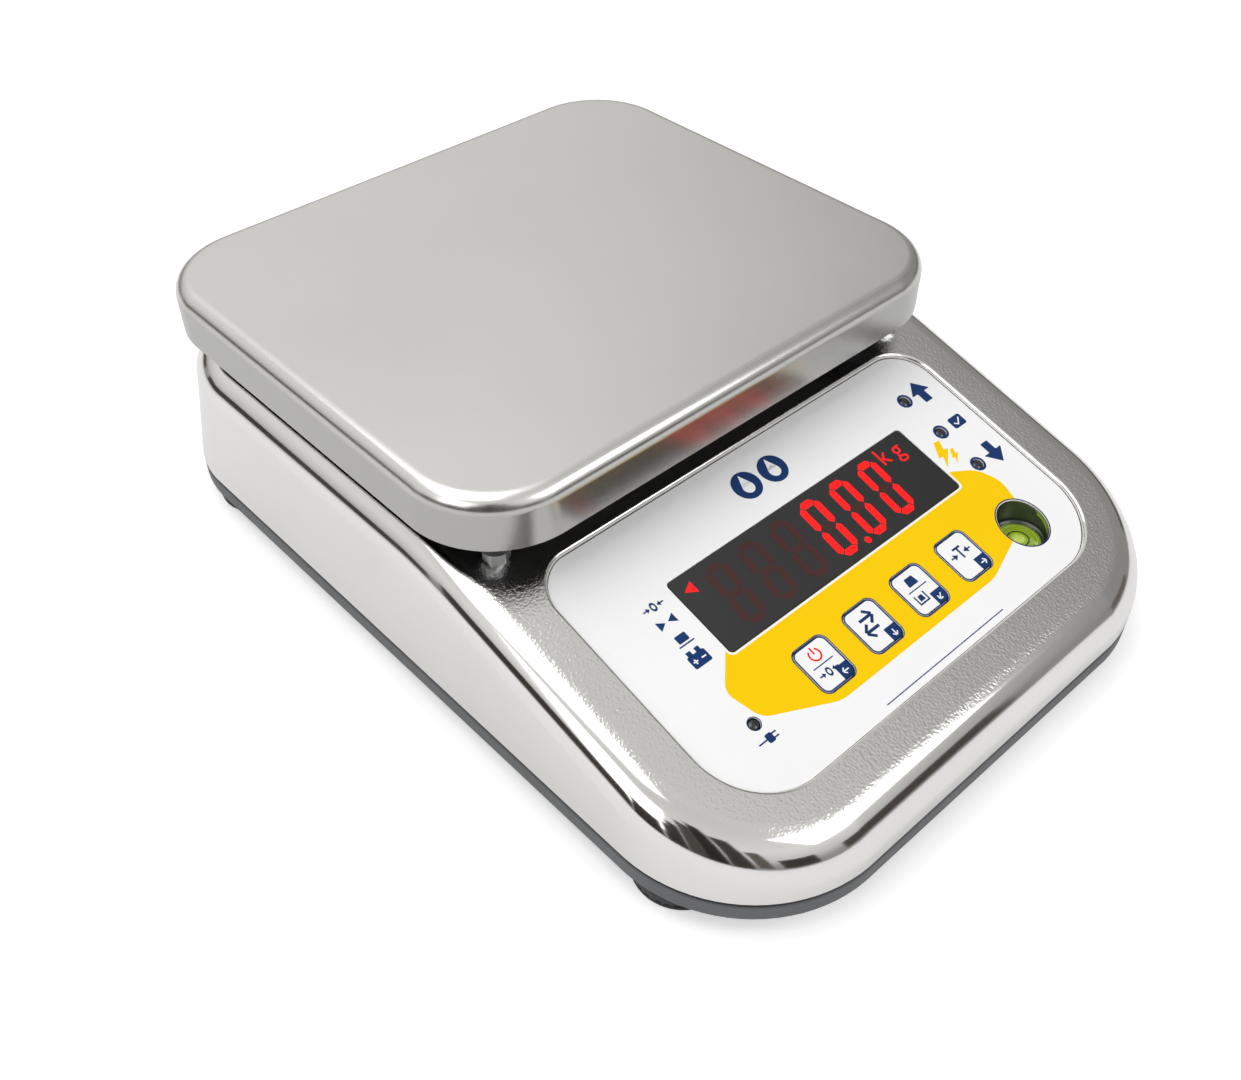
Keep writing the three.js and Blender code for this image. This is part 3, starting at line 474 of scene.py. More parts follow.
def plate(bm, u, v, w, h, r, steps):
    """A flat rounded plate round a point."""
    verts, ring = rounded_ring(bm, w, -h / 2, h / 2, r, r, steps=steps)
    bmesh.ops.translate(bm, verts=verts, vec=(u, v, 0))
    return verts, bmesh.ops.contextual_create(bm, geom=ring)["faces"]


def bridge(bm, rings):
    for lower, upper in zip(rings, rings[1:]):
        bmesh.ops.bridge_loops(bm, edges=lower + upper)


def turned(profile, centre=(0.0, 0.0), steps=64):
    """A turned piece: a profile of radius and height, spun about a vertical axis."""
    bm = bmesh.new()
    verts = [bm.verts.new((r, 0, z)) for r, z in profile]
    edges = [bm.edges.new(pair) for pair in zip(verts, verts[1:])]
    bmesh.ops.spin(
        bm, geom=verts + edges, cent=(0, 0, 0), axis=(0, 0, 1), angle=2 * pi, steps=steps, use_merge=True,
    )
    face_out(bm)
    bmesh.ops.translate(bm, verts=bm.verts, vec=(*centre, 0))
    return bm


# %% [markdown]
# The housing is one sheet, drawn deep. Its front and side walls rise straight and its rear wall
# leans forward. All turn over a 12.5 mm shoulder and become the console slope and the deck. The
# rings follow the shoulder at every height of the skin.
# The top is filled in three fields, the slope round the sunk pocket, the blend and the deck, and a
# Solidify modifier gives the sheet its thickness inwards.

# %% Housing shell
SIDE_CUTS = 58
KEY_PLACES = [KEY["first"] + i * KEY["pitch"] for i in range(4)]
holes_uv = [(WINDOW["u"], WINDOW["v"], WINDOW["w"] + 0.6, WINDOW["h"] + 0.6, 1.8, 4)]
holes_uv += [(u, KEY["v"], KEY["w"] + 0.8, KEY["h"] + 0.8, KEY["r"] + 0.4, 6) for u in KEY_PLACES]
LAMP_HOLE = 2.2


def panel_ring(bm, grow, n, steps=18):
    """The panel's outline, grown by an amount, at height n over the label, in its place."""
    verts, edges = rounded_ring(
        bm, PANEL["w"] + 2 * grow, PANEL["front"] - grow, PANEL["back"] + grow,
        PANEL["r_front"] + grow, PANEL["r_back"] + grow, steps=steps,
    )
    bmesh.ops.translate(bm, verts=verts, vec=(0, 0, n))
    bmesh.ops.transform(bm, matrix=panel_frame, verts=verts)
    return edges


def panel_holes(bm, n):
    """Rings for the window, the keys, the lamps and the level well, at height n."""
    edges = []
    for u, v, w, h, r, steps in holes_uv:
        verts, ring = rounded_ring(bm, w, -h / 2, h / 2, r, r, steps=steps)
        bmesh.ops.transform(bm, matrix=panel_frame @ at(u, v, n), verts=verts)
        edges += ring
    for u, v in LAMPS.values():
        place = panel_frame @ at(u, v, n)
        edges += loop_edges(bmesh.ops.create_circle(bm, segments=32, radius=LAMP_HOLE, matrix=place)["verts"])
    well = bmesh.ops.create_circle(bm, segments=64, radius=LEVEL["r"])["verts"]
    for vert in well:
        y = level_centre.y + vert.co.y
        z = PANEL_Z + (y - PANEL_Y) * tan(SLOPE) + n / cos(SLOPE)
        vert.co = (LEVEL["u"] + vert.co.x, y, z)
    return edges + loop_edges(well)


def drawn_ring(bm, inset, height, lean=REAR_LEAN):
    """One ring of the drawn shell. Its rear stands forward by lean, so the rear wall slopes."""
    verts, edges = rounded_ring(
        bm, BODY["w"], -BODY["d"] / 2, BODY["d"] / 2 - lean,
        BODY["front"], BODY["rear"], inset, 22, SIDE_CUTS,
    )
    for vert in verts:
        vert.co.z = height(vert.co.y)
    return verts, edges


def fill_top(bm, ring, pocket_edges):
    """Three fields: the slope with the pocket in it, the blend in strips, the deck with the post's hole."""
    half = BODY["w"] / 2 - SHOULDER - 0.01
    sides = [v for v in ring if abs(v.co.x) > half]
    levels = sorted({round(v.co.y, 3) for v in sides})
    rungs = []
    for y in levels:
        pair = [v for v in sides if abs(v.co.y - y) < 0.01]
        if -44.5 < y < -4 and len(pair) == 2:
            rungs.append(bmesh.ops.contextual_create(bm, geom=pair)["edges"][0])
    for low, high in zip(rungs, rungs[1:]):
        bmesh.ops.contextual_create(bm, geom=list(low.verts) + list(high.verts))
    front_y, rear_y = rungs[0].verts[0].co.y, rungs[-1].verts[0].co.y
    front = [e for e in loop_edges(ring) if all(v.co.y <= front_y + 0.01 for v in e.verts)]
    rear = [e for e in loop_edges(ring) if all(v.co.y >= rear_y - 0.01 for v in e.verts)]
    bmesh.ops.triangle_fill(bm, use_beauty=True, use_dissolve=False, edges=list({*front, *pocket_edges}))
    post = bmesh.ops.create_circle(bm, segments=64, radius=POST_HOLE_R, matrix=at(0, PAN["y"], DECK_Z))
    rear += loop_edges(post["verts"])
    bmesh.ops.triangle_fill(bm, use_beauty=True, use_dissolve=False, edges=list({*rear}))
    return front_y, rear_y


def housing():
    bm = bmesh.new()
    rings = [drawn_ring(bm, 0.0, lambda y: SHELL_BOTTOM, 0.0)[1]]
    last = None
    for i in range(13):
        a = pi / 2 * i / 12
        sunk = SHOULDER * (1 - sin(a))
        last, edges = drawn_ring(bm, SHOULDER * (1 - cos(a)), lambda y: skin(y) - sunk)
        rings.append(edges)
    bridge(bm, rings)
    lip = 1.3
    rim = []
    for i in range(7):
        a = pi / 2 * i / 6
        rim.append(panel_ring(bm, 0.3 + lip * (1 - sin(a)), PANEL_SUNK - lip * (1 - cos(a))))
    rim.append(panel_ring(bm, 0.3, FLOOR_N))
    bridge(bm, rim)
    print("top fields meet at y =", fill_top(bm, last, rim[0]))
    bmesh.ops.triangle_fill(bm, use_beauty=True, use_dissolve=False, edges=rim[-1] + panel_holes(bm, FLOOR_N))
    face_out(bm)
    if max(bm.faces, key=lambda f: f.calc_area()).normal.z < -0.2:
        bmesh.ops.reverse_faces(bm, faces=bm.faces)
    return bm


shell = as_piece(
    "drawn_housing", housing(), polished, "base", ["housing_shell"], "stainless", wall=SHEET, sharp=40,
)
print("housing:", len(shell.data.polygons), "faces")

# %% [markdown]
# The weighing pan is drawn from thinner-looking sheet, but it is the same 1.5 mm. Its roll is tighter
# than the housing's shoulder, so it catches one crisp highlight all the way round.

# %% Weighing pan
def pan_shape():
    bm = bmesh.new()
    y0, y1 = PAN["y"] - PAN["d"] / 2, PAN["y"] + PAN["d"] / 2
    rings, last = [], None
    heights = [(0.0, PAN["top"] - PAN["skirt"])]
    for i in range(13):
        a = pi / 2 * i / 12
        heights.append((PAN["roll"] * (1 - cos(a)), PAN["top"] - PAN["roll"] * (1 - sin(a))))
    for inset, z in heights:
        last, edges = rounded_ring(bm, PAN["w"], y0, y1, PAN["r"], PAN["r"], inset, 22)
        bmesh.ops.translate(bm, verts=last, vec=(0, 0, z))
        rings.append(edges)
    bridge(bm, rings)
    bmesh.ops.contextual_create(bm, geom=rings[-1])
    face_out(bm)
    if max(bm.faces, key=lambda f: f.calc_area()).normal.z < 0:
        bmesh.ops.reverse_faces(bm, faces=bm.faces)
    return bm


# The pan's inside takes the near-black metal: painted shade under the pan.
pan_piece = as_piece(
    "pan", pan_shape(), brushed, "pan", ["weighing_pan"], "stainless", wall=SHEET, sharp=40,
    inside=underside_painted_dark,
)
print("pan:", len(pan_piece.data.polygons), "faces")

# %% [markdown]
# The console's film is a thin white sheet with openings for the window, the keys, the lamps and the
# level. Its inks are modelled as what they are, very thin layers on top of the sheet, so their edges
# stay crisp at any distance.

# %% Console film
def film():
    bm = bmesh.new()
    outline = panel_ring(bm, 0.0, -0.5)
    bmesh.ops.triangle_fill(bm, use_beauty=True, use_dissolve=False, edges=outline + panel_holes(bm, -0.5))
    bmesh.ops.recalc_face_normals(bm, faces=bm.faces)
    if bm.faces[:][0].normal.z < 0:
        bmesh.ops.reverse_faces(bm, faces=bm.faces)
    up = panel_frame.to_3x3() @ Vector((0, 0, 0.5))
    thicken(bm, bm.faces[:], up)
    face_out(bm)
    return bm


as_piece("console_film", film(), film_white, "base", ["panel_label"])

# %% Ink shapes
INK = 0.035


def bar(bm, u0, v0, u1, v1, width):
    """A straight stroke: a grid cell stretched between two points."""
    turn = Matrix.Rotation(atan2(v1 - v0, u1 - u0), 4, "Z")
    middle = at((u0 + u1) / 2, (v0 + v1) / 2)
    stretch = Matrix.Diagonal((hypot(u1 - u0, v1 - v0), width, 1, 1))
    bmesh.ops.create_grid(bm, x_segments=1, y_segments=1, size=0.5, matrix=middle @ turn @ stretch)


def dot(bm, u, v, r, segments=40):
    bmesh.ops.create_circle(bm, cap_ends=True, segments=segments, radius=r, matrix=at(u, v))


def hoop(bm, u, v, r_out, r_in, sweep=360.0, start=0.0, steps=48):
    """A ring or part of one: a radial edge spun about its centre."""
    turn = Matrix.Rotation(radians(start), 3, "Z")
    ends = [bm.verts.new(Vector((u, v, 0)) + turn @ Vector((r, 0, 0))) for r in (r_in, r_out)]
    edge = bm.edges.new(ends)
    bmesh.ops.spin(
        bm, geom=[*ends, edge], cent=(u, v, 0), axis=(0, 0, 1), angle=radians(sweep),
        steps=steps, use_merge=sweep == 360.0,
    )


def patch(bm, points, soft=0.0):
    """A flat shape from its corners, rounded by a vertex bevel."""
    corners = [bm.verts.new((u, v, 0)) for u, v in points]
    edges = [bm.edges.new(pair) for pair in zip(corners, corners[1:] + corners[:1])]
    face = bmesh.ops.contextual_create(bm, geom=edges)["faces"][0]
    if soft:
        bmesh.ops.bevel(
            bm, geom=list(face.verts), offset=soft, segments=10, profile=0.5, affect="VERTICES", material=-1,
            clamp_overlap=True,
        )


def frame_of(bm, u, v, w, h, r, width):
    """A rounded frame: the band between two rounded outlines."""
    outer, a = rounded_ring(bm, w, -h / 2, h / 2, r, r, steps=8)
    inner, b = rounded_ring(bm, w, -h / 2, h / 2, r, r, inset=width, steps=8)
    bmesh.ops.bridge_loops(bm, edges=a + b)
    bmesh.ops.translate(bm, verts=outer + inner, vec=(u, v, 0))


def letters(bm, words, size, u, v):
    """Plain sans numerals and unit signs from the program's own font, centred on a point."""
    curve = bpy.data.curves.new("letters", "FONT")
    curve.body, curve.size, curve.align_x, curve.align_y = words, size, "CENTER", "CENTER"
    curve.resolution_u = 4
    holder = bpy.data.objects.new("letters", curve)
    scene.collection.objects.link(holder)
    mesh = holder.to_mesh()
    mesh.transform(at(u, v))
    bm.from_mesh(mesh)
    holder.to_mesh_clear()
    bpy.data.objects.remove(holder)
    bpy.data.curves.remove(curve)


def punched(bm, cutter):
    """The shape with the cutter's solids taken out of it."""
    blank, tool = placed("blank", bm), placed("tool", cutter)
    cut = blank.modifiers.new("cut", "BOOLEAN")
    cut.operation, cut.solver, cut.object = "DIFFERENCE", "EXACT", tool
    result = bpy.data.meshes.new_from_object(blank.evaluated_get(bpy.context.evaluated_depsgraph_get()))
    bm.clear()
    bm.from_mesh(result)
    for holder in (blank, tool):
        mesh = holder.data
        bpy.data.objects.remove(holder)
        bpy.data.meshes.remove(mesh)
    bpy.data.meshes.remove(result)
    cutter.free()


def panel_punch():
    """Solids through the window, the keys, the lamps and the well, in the panel's frame."""
    bm = bmesh.new()
    for hole in holes_uv:
        plate(bm, *hole)
    dot(bm, *LAMPS["lamp_charge"], LAMP_HOLE, 32)
    well = bmesh.ops.create_circle(bm, cap_ends=True, segments=96, radius=LEVEL["r"] + 0.05)["verts"]
    bmesh.ops.scale(bm, verts=well, vec=(1, 1 / cos(SLOPE), 1))
    bmesh.ops.translate(bm, verts=well, vec=(LEVEL["u"], LEVEL["v"], 0))
    bmesh.ops.translate(bm, verts=bm.verts, vec=(0, 0, -2))
    thicken(bm, bm.faces[:], (0, 0, 4))
    bmesh.ops.recalc_face_normals(bm, faces=bm.faces)
    return bm


def printed(name, draw, ink, n=0.0, thick=INK, body="base", punch=False, **more):
    """Draws a flat shape in the panel's frame, gives it its thickness and makes it a piece."""
    bm = bmesh.new()
    draw(bm)
    bmesh.ops.remove_doubles(bm, verts=bm.verts, dist=0.0005)
    for face in [f for f in bm.faces if f.calc_area() < 1e-7]:
        bm.faces.remove(face)
    bm.normal_update()
    bmesh.ops.reverse_faces(bm, faces=[f for f in bm.faces if f.normal.z < 0])
    thicken(bm, bm.faces[:], (0, 0, thick))
    bmesh.ops.recalc_face_normals(bm, faces=bm.faces)
    if punch:
        punched(bm, panel_punch())
    bmesh.ops.transform(bm, matrix=panel_frame @ at(0, 0, n), verts=bm.verts)
    return as_piece(name, bm, ink, body, **more)


print("ink layers are", INK, "mm thick")

# %% [markdown]
# The inks: one broad yellow band that sets off the keys, and navy for the rings, tags and signs. The
# signs are the common ones of weighing scales: zero, stable, net, tare, a drop for wash-down, a
# battery and a charging flash. There is no name on the console.

# %% Yellow band and flashes
def draw_band(bm):
    patch(bm, [
        (-56, -48.5), (61.4, -46.3), (71.5, -51.8), (75.6, -60.3), (73.2, -70.5), (59.2, -79.9),
        (39.1, -86.4), (-40.6, -86.3), (-66.0, -75.0), (-69.5, -62.0),
    ], 3.0)


def draw_flashes(bm):
    for u, v, s in ((66.0, -39.9, 1.0), (69.6, -42.9, 0.56)):
        shape = ((1.2, 5.6), (4.0, 5.2), (2.2, 1.4), (4.2, 0.9), (-3.3, -5.4), (-0.6, -0.8), (-2.6, -0.4))
        patch(bm, [(u + a * s, v + b * s) for a, b in shape])


# %% Navy signs
def draw_navy(bm):
    for name, (u, v) in LAMPS.items():
        hoop(bm, u, v, 2.45 if name == "lamp_charge" else 3.1, LAMP_HOLE)
    hoop_oval(bm, LEVEL["u"], LEVEL["v"], LEVEL["r"] + 0.55, (LEVEL["r"] + 0.55) / cos(SLOPE), 0.45, 72)
    for u in KEY_PLACES:
        frame_of(bm, u, KEY["v"], KEY["w"] + 1.4, KEY["h"] + 1.4, KEY["r"] + 0.7, 0.3)
    dot(bm, 6.9, -8.4, 5.8)
    dot(bm, -6.3, -8.4, 5.8)
    bar(bm, -29.8, -96.2, 31.4, -96.2, 0.35)
    # high, accepted and low tags
    for u, v, way in ((82.4, -9.4, 1), (84.2, -55.2, -1)):
        right = ((4.8, -5.6), (1.9, -5.6), (1.9, -10.2))
        outline = ((0, 0), *right, *[(-a, b) for a, b in reversed(right)])
        patch(bm, [(u + a, v + b * way) for a, b in outline], 0.35)
    patch(bm, [(80.3, -29.9), (86.9, -29.9), (86.9, -34.9), (80.3, -34.9)], 0.9)
    # battery
    patch(bm, [(-71.2, -46.2), (-64.0, -46.2), (-64.0, -51.0), (-71.2, -51.0)], 0.7)
    patch(bm, [(-70.3, -44.6), (-68.4, -44.6), (-68.4, -46.4), (-70.3, -46.4)], 0.2)
    patch(bm, [(-66.8, -44.6), (-64.9, -44.6), (-64.9, -46.4), (-66.8, -46.4)], 0.2)
    # zero, stable and net signs beside the window
    arrows_to_zero(bm, -67.0, -26.0, 1.0)
    for side in (-1, 1):
        patch(bm, [(-67.2 + side * 0.6, -32.7), (-67.2 + side * 3.6, -30.9), (-67.2 + side * 3.6, -34.5)])
    patch(bm, [(-69.4, -38.3), (-65.0, -38.3), (-65.0, -41.3), (-69.4, -41.3)], 0.4)
    bar(bm, -70.4, -42.2, -64.0, -42.2, 0.5)
    # plug sign under the charging lamp
    bar(bm, -73.6, -81.4, -69.9, -81.4, 0.5)
    patch(bm, [(-70.1, -79.8), (-67.4, -79.8), (-67.4, -83.0), (-70.1, -83.0)], 0.7)
    bar(bm, -67.6, -80.6, -65.6, -80.6, 0.5)
    bar(bm, -67.6, -82.2, -65.6, -82.2, 0.5)


def arrows_to_zero(bm, u, v, s):
    """The zero sign: an upright nought with an arrow towards it from each side."""
    hoop_oval(bm, u, v, 1.15 * s, 1.75 * s, 0.55 * s)
    for way in (-s, s):
        bar(bm, u + way * 4.3, v, u + way * 2.6, v, 0.5 * s)
        patch(bm, [(u + way * 1.6, v), (u + way * 2.9, v + s), (u + way * 2.9, v - s)])


def hoop_oval(bm, u, v, rx, ry, width, steps=32):
    before = set(bm.verts)
    hoop(bm, 0, 0, 1.0, 1.0 - width / rx, steps=steps)
    fresh = [vert for vert in bm.verts if vert not in before]
    bmesh.ops.scale(bm, vec=(rx, ry, 1), verts=fresh)
    bmesh.ops.translate(bm, vec=(u, v, 0), verts=fresh)


def draw_white_on_navy(bm):
    for u in (6.9, -6.3):
        drop(bm, u, -9.4, 2.4)
    for u in (-69.4, -65.9):
        bar(bm, u - 0.95, -48.7, u + 0.95, -48.7, 0.5)
    bar(bm, -69.4, -49.65, -69.4, -47.75, 0.5)
    bar(bm, 81.7, -32.5, 83.1, -33.7, 0.55)
    bar(bm, 82.9, -33.8, 85.5, -31.2, 0.55)


def drop(bm, u, v, r):
    """A water drop: a disc under a pointed cap."""
    dot(bm, u, v, r)
    patch(bm, [(u - r * 0.9, v + r * 0.44), (u + r * 0.9, v + r * 0.44), (u, v + r * 2.4)])


def draw_window_border(bm):
    frame_of(bm, WINDOW["u"], WINDOW["v"], WINDOW["w"] + 2.2, WINDOW["h"] + 2.2, 2.4, 0.75)


printed("ink_band", draw_band, ink_yellow, punch=True)
printed("ink_flashes", draw_flashes, ink_yellow)
printed("ink_window_border", draw_window_border, film_white, n=0.02, thick=0.03)
printed("ink_navy_signs", draw_navy, ink_navy, n=0.04, thick=0.03)
printed("ink_white_signs", draw_white_on_navy, film_white, n=0.07, thick=0.02)
print("console printed")

# %% [markdown]
# Behind the dark red window sits a module of seven-segment digits an inch high. Six places show. Only
# the last three are lit, with the point after the first of them. The segments lie flush in the
# window, as they look through a tinted film that sits right on the module.

# %% Display window
def window_sheet(bm):
    plate(bm, WINDOW["u"], WINDOW["v"], WINDOW["w"], WINDOW["h"], WINDOW["r"], 6)


printed(
    "window", window_sheet, window_dark, n=-2.3, thick=2.3, stands_for=["display_window"],
    slot="window_glass",
)

DIGIT = dict(w=9.9, h=25.3, pitch=15.3, stroke=2.85, gap=0.3, lean=radians(2), first=-40.6, v=-37.6)


def segment(bm, u0, v0, u1, v1):
    """One bar of a digit, with both ends cut to a point."""
    length, half = hypot(u1 - u0, v1 - v0) / 2 - DIGIT["gap"], DIGIT["stroke"] / 2
    flat = length - half
    outline = [(-length, 0), (-flat, -half), (flat, -half), (length, 0), (flat, half), (-flat, half)]
    turn = Matrix.Rotation(atan2(v1 - v0, u1 - u0), 4, "Z")
    place = Matrix.Translation(((u0 + u1) / 2, (v0 + v1) / 2, 0)) @ turn
    corners = [bm.verts.new(place @ Vector((a, b, 0))) for a, b in outline]
    bmesh.ops.contextual_create(bm, geom=corners)


def digit(bm, place, bars):
    """A seven-segment digit: its bars are lettered a to g in the usual order."""
    before = set(bm.verts)
    w, h = (DIGIT["w"] - DIGIT["stroke"]) / 2, (DIGIT["h"] - DIGIT["stroke"]) / 2
    ends = dict(
        a=(-w, h, w, h), b=(w, h, w, 0), c=(w, 0, w, -h), d=(-w, -h, w, -h), e=(-w, 0, -w, -h),
        f=(-w, h, -w, 0), g=(-w, 0, w, 0),
    )
    for letter in bars:
        segment(bm, *ends[letter])
    fresh = [v for v in bm.verts if v not in before]
    for vert in fresh:
        vert.co.x += vert.co.y * tan(DIGIT["lean"])
    bmesh.ops.translate(bm, verts=fresh, vec=(DIGIT["first"] + place * DIGIT["pitch"], DIGIT["v"], 0))


def draw_lit(bm):
    for place in (3, 4, 5):
        digit(bm, place, "abcdef")
    dot(bm, DIGIT["first"] + 3 * DIGIT["pitch"] + 7.9, DIGIT["v"] - 11.7, 1.35, 24)
    letters(bm, "k", 10.4, 45.3, -27.8)
    letters(bm, "g", 10.4, 52.4, -28.3)
    patch(bm, [(-54.8, -28.0), (-50.4, -25.6), (-50.4, -30.4)], 0.2)


def draw_unlit(bm):
    for place in (0, 1, 2):
        digit(bm, place, "abcdefg")
    for place in (3, 4, 5):
        digit(bm, place, "g")


printed("digits_lit", draw_lit, segment_lit, n=-0.01, thick=0.03, slot="window_glass")
printed("digits_unlit", draw_unlit, segment_off, n=-0.01, thick=0.03, slot="window_glass")
print("display shows 0.00")

# %% [markdown]
# Each key is a small pad under the film's plane, with a navy rim and an arrow tab in its corner. The
# legends are the signs for power and zero, changing the unit, net and gross, and tare. A key rides on
# a body of its own, and so does everything that is printed on it.

# %% Keys
def key_pad(u):
    def draw(bm):
        plate(bm, u, KEY["v"], KEY["w"], KEY["h"], KEY["r"], 8)
    return draw


def arrow(bm, u, v, turn, s):
    """A small arrow: a shaft and two barbs."""
    before = set(bm.verts)
    bar(bm, -1.5, 0, 1.4, 0, 0.55)
    bar(bm, 1.55, 0.1, 0.3, 1.3, 0.55)
    bar(bm, 1.55, -0.1, 0.3, -1.3, 0.55)
    fresh = [vert for vert in bm.verts if vert not in before]
    bmesh.ops.scale(bm, vec=(s, s, 1), verts=fresh)
    bmesh.ops.rotate(bm, cent=(0, 0, 0), matrix=Matrix.Rotation(radians(turn), 3, "Z"), verts=fresh)
    bmesh.ops.translate(bm, vec=(u, v, 0), verts=fresh)


def key_rim_and_tab(u):
    v = KEY["v"]

    def draw(bm):
        frame_of(bm, u, v, KEY["w"], KEY["h"], KEY["r"], 0.5)
        right, low, r = u + KEY["w"] / 2, v - KEY["h"] / 2, KEY["r"]
        left, bend, high = right - 5.6, right - r, low + 5.4
        patch(bm, [(left, low), (bend, low), (bend, high), (left, high)], 0.01)
        patch(bm, [(bend, low + r), (right, low + r), (right, high), (bend, high)])
        hoop(bm, right - r, low + r, r, 0.02, 90, 270, 10)
    return draw


def power_legend(bm, u, v):
    bar(bm, u - 4.6, v + 0.3, u + 4.6, v + 0.3, 0.4)
    arrows_to_zero(bm, u - 0.6, v - 2.9, 0.98)


def unit_legend(bm, u, v):
    arrow(bm, u, v + 3.6, 0, 2.0)
    arrow(bm, u - 1.0, v - 0.9, 180, 2.0)


def net_legend(bm, u, v):
    bar(bm, u - 4.6, v + 0.9, u + 4.6, v + 0.9, 0.4)
    patch(bm, [(u - 2.4, v + 2.4), (u + 2.4, v + 2.4), (u + 1.9, v + 5.8), (u - 1.9, v + 5.8)], 0.3)
    bar(bm, u - 4.4, v - 4.4, u + 0.6, v - 4.4, 0.6)
    for side in (u - 4.1, u + 0.3):
        bar(bm, side, v - 4.4, side, v - 0.8, 0.6)
    patch(bm, [(u - 3.1, v - 3.6), (u - 0.7, v - 3.6), (u - 0.9, v - 1.4), (u - 2.9, v - 1.4)], 0.2)


def tare_legend(bm, u, v):
    bar(bm, u - 1.9, v + 3.7, u + 1.9, v + 3.7, 0.8)
    bar(bm, u, v + 3.7, u, v - 0.9, 0.8)
    for side in (-1, 1):
        bar(bm, u + side * 5.0, v + 1.2, u + side * 3.4, v + 1.2, 0.55)
        patch(bm, [(u + side * 1.6, v + 1.2), (u + side * 3.6, v + 2.5), (u + side * 3.6, v - 0.1)])


def power_sign(u):
    def draw(bm):
        hoop(bm, u, KEY["v"] + 4.1, 2.5, 1.85, 290, 125, 32)
        bar(bm, u, KEY["v"] + 4.3, u, KEY["v"] + 7.0, 0.65)
    return draw


LEGENDS = dict(
    power=(power_legend, 180), unit=(unit_legend, -90), net=(net_legend, 225), tare=(tare_legend, 0),
)
for u, (key, (legend, heading)) in zip(KEY_PLACES, LEGENDS.items()):
    ride = dict(body="key_" + key + "_cap")
    printed(
        "pad_key_" + key, key_pad(u), film_white, n=-2.3, thick=2.3,
        stands_for=["key_" + key], ease=0.18, **ride,
    )
    printed("rim_key_" + key, key_rim_and_tab(u), ink_navy, thick=0.03, **ride)
    printed("legend_key_" + key, lambda bm: legend(bm, u, KEY["v"]), ink_navy, thick=0.03, **ride)
    tab = (u + KEY["w"] / 2 - 2.9, KEY["v"] - KEY["h"] / 2 + 2.7, heading, 0.85)
    printed("arrow_key_" + key, lambda bm: arrow(bm, *tab), film_white, n=0.03, thick=0.02, **ride)
printed("sign_power", power_sign(KEY["first"]), ink_red, n=0.0, thick=0.03, body="key_power_cap")
print("four keys made")

# %% [markdown]
# The lamps are small dark domes that sit a little below the film.

# %% Lamps
for name, (u, v) in LAMPS.items():
    dome = [(1.9, -0.9), (1.75, -0.55), (1.35, -0.28), (0.75, -0.12), (0, -0.06)]
    lamp = turned([(0, -4.5), (1.9, -4.5), *dome], steps=32)
    bmesh.ops.transform(lamp, matrix=panel_frame @ at(u, v), verts=lamp.verts)
    as_piece(name + "_dome", lamp, lamp_lens, "base", [name], "dark_resin")

# %% [markdown]
# The bubble level hangs level in a round well in the sloped panel, so its rim shows as an oval. A dark
# cup holds a lime vial with a bubble in the middle and a ring that says how far off level it may be.

# %% Bubble level
LU, LY, LZ = LEVEL["u"], level_centre.y, level_centre.z
VIAL_TOP = LZ - LEVEL["depth"]


def on_vial(*section, steps=96):
    """A turned piece on the level's axis. Heights are measured from the vial's top."""
    return turned([(r, VIAL_TOP + z) for r, z in section], (LU, LY), steps)


def well_wall():
    """The cup: a turned wall and floor, its upper end cut by the underside of the pocket."""
    floor = VIAL_TOP - 8.2
    bm = turned([
        (0, floor), (11.5, floor), (11.5, LZ + 4), (LEVEL["r"], LZ + 4), (LEVEL["r"], floor + 1.5),
        (0, floor + 1.5),
    ], (LU, LY), 96)
    up = panel_frame.to_3x3() @ Vector((0, 0, 1))
    on_cut = panel_frame @ Vector((0, LEVEL["v"], -0.52))
    cut = bmesh.ops.bisect_plane(
        bm, geom=[*bm.verts, *bm.edges, *bm.faces], plane_co=on_cut, plane_no=up, clear_outer=True,
    )
    rim = [g for g in cut["geom_cut"] if isinstance(g, bmesh.types.BMEdge)]
    bmesh.ops.bridge_loops(bm, edges=rim)
    face_out(bm)
    return bm


as_piece("level_well", well_wall(), well_green, "base", ["level_cup"], "dark_resin")
vial = on_vial((0, -6.4), (9.1, -6.4), (9.1, -0.9), (8.7, -0.35), (7.9, -0.1), (5.0, 0), (0, 0.05))
as_piece("level_vial", vial, level_lime, "base", ["level_fluid", "level_lens"], "level_liquid")
collar = on_vial((8.1, -1.4), (9.6, -1.4), (9.6, 0.5), (9.2, 0.8), (8.6, 0.5), (8.1, -0.1), (8.1, -1.4))
as_piece("level_collar", collar, well_green, "base", slot="dark_resin")
RINGS = (("level_ring_outer", 6.7, 0.35, bubble_lime), ("level_ring_inner", 3.6, 0.5, vial_black))
for name, low, width, ink in RINGS:
    ring = on_vial((low, 0), (low + width, 0), (low + width, 0.08), (low, 0.1), (low, 0))
    as_piece(name, ring, ink, "base", slot="level_liquid")
bubble = on_vial((0, 0.02), (2.7, 0.02), (2.6, 0.25), (2.1, 0.5), (1.2, 0.68), (0, 0.74), steps=64)
as_piece("level_bubble_dome", bubble, bubble_lime, "base", ["level_bubble"], "clear_glass")
print("level vial top at z =", round(VIAL_TOP, 1))

# %% [markdown]
# Below the housing come a thin black seal and the grey tray, both with the housing's outline. The tray
# is a shallow dish. Its edge is eased, and it stands a few millimetres above the table on its feet.

# %% Seal and tray
def band_ring(bm, inset, z):
    verts, edges = rounded_ring(
        bm, BODY["w"], -BODY["d"] / 2, BODY["d"] / 2, BODY["front"], BODY["rear"], inset, 22, 0,
    )
    bmesh.ops.translate(bm, verts=verts, vec=(0, 0, z))
    return edges


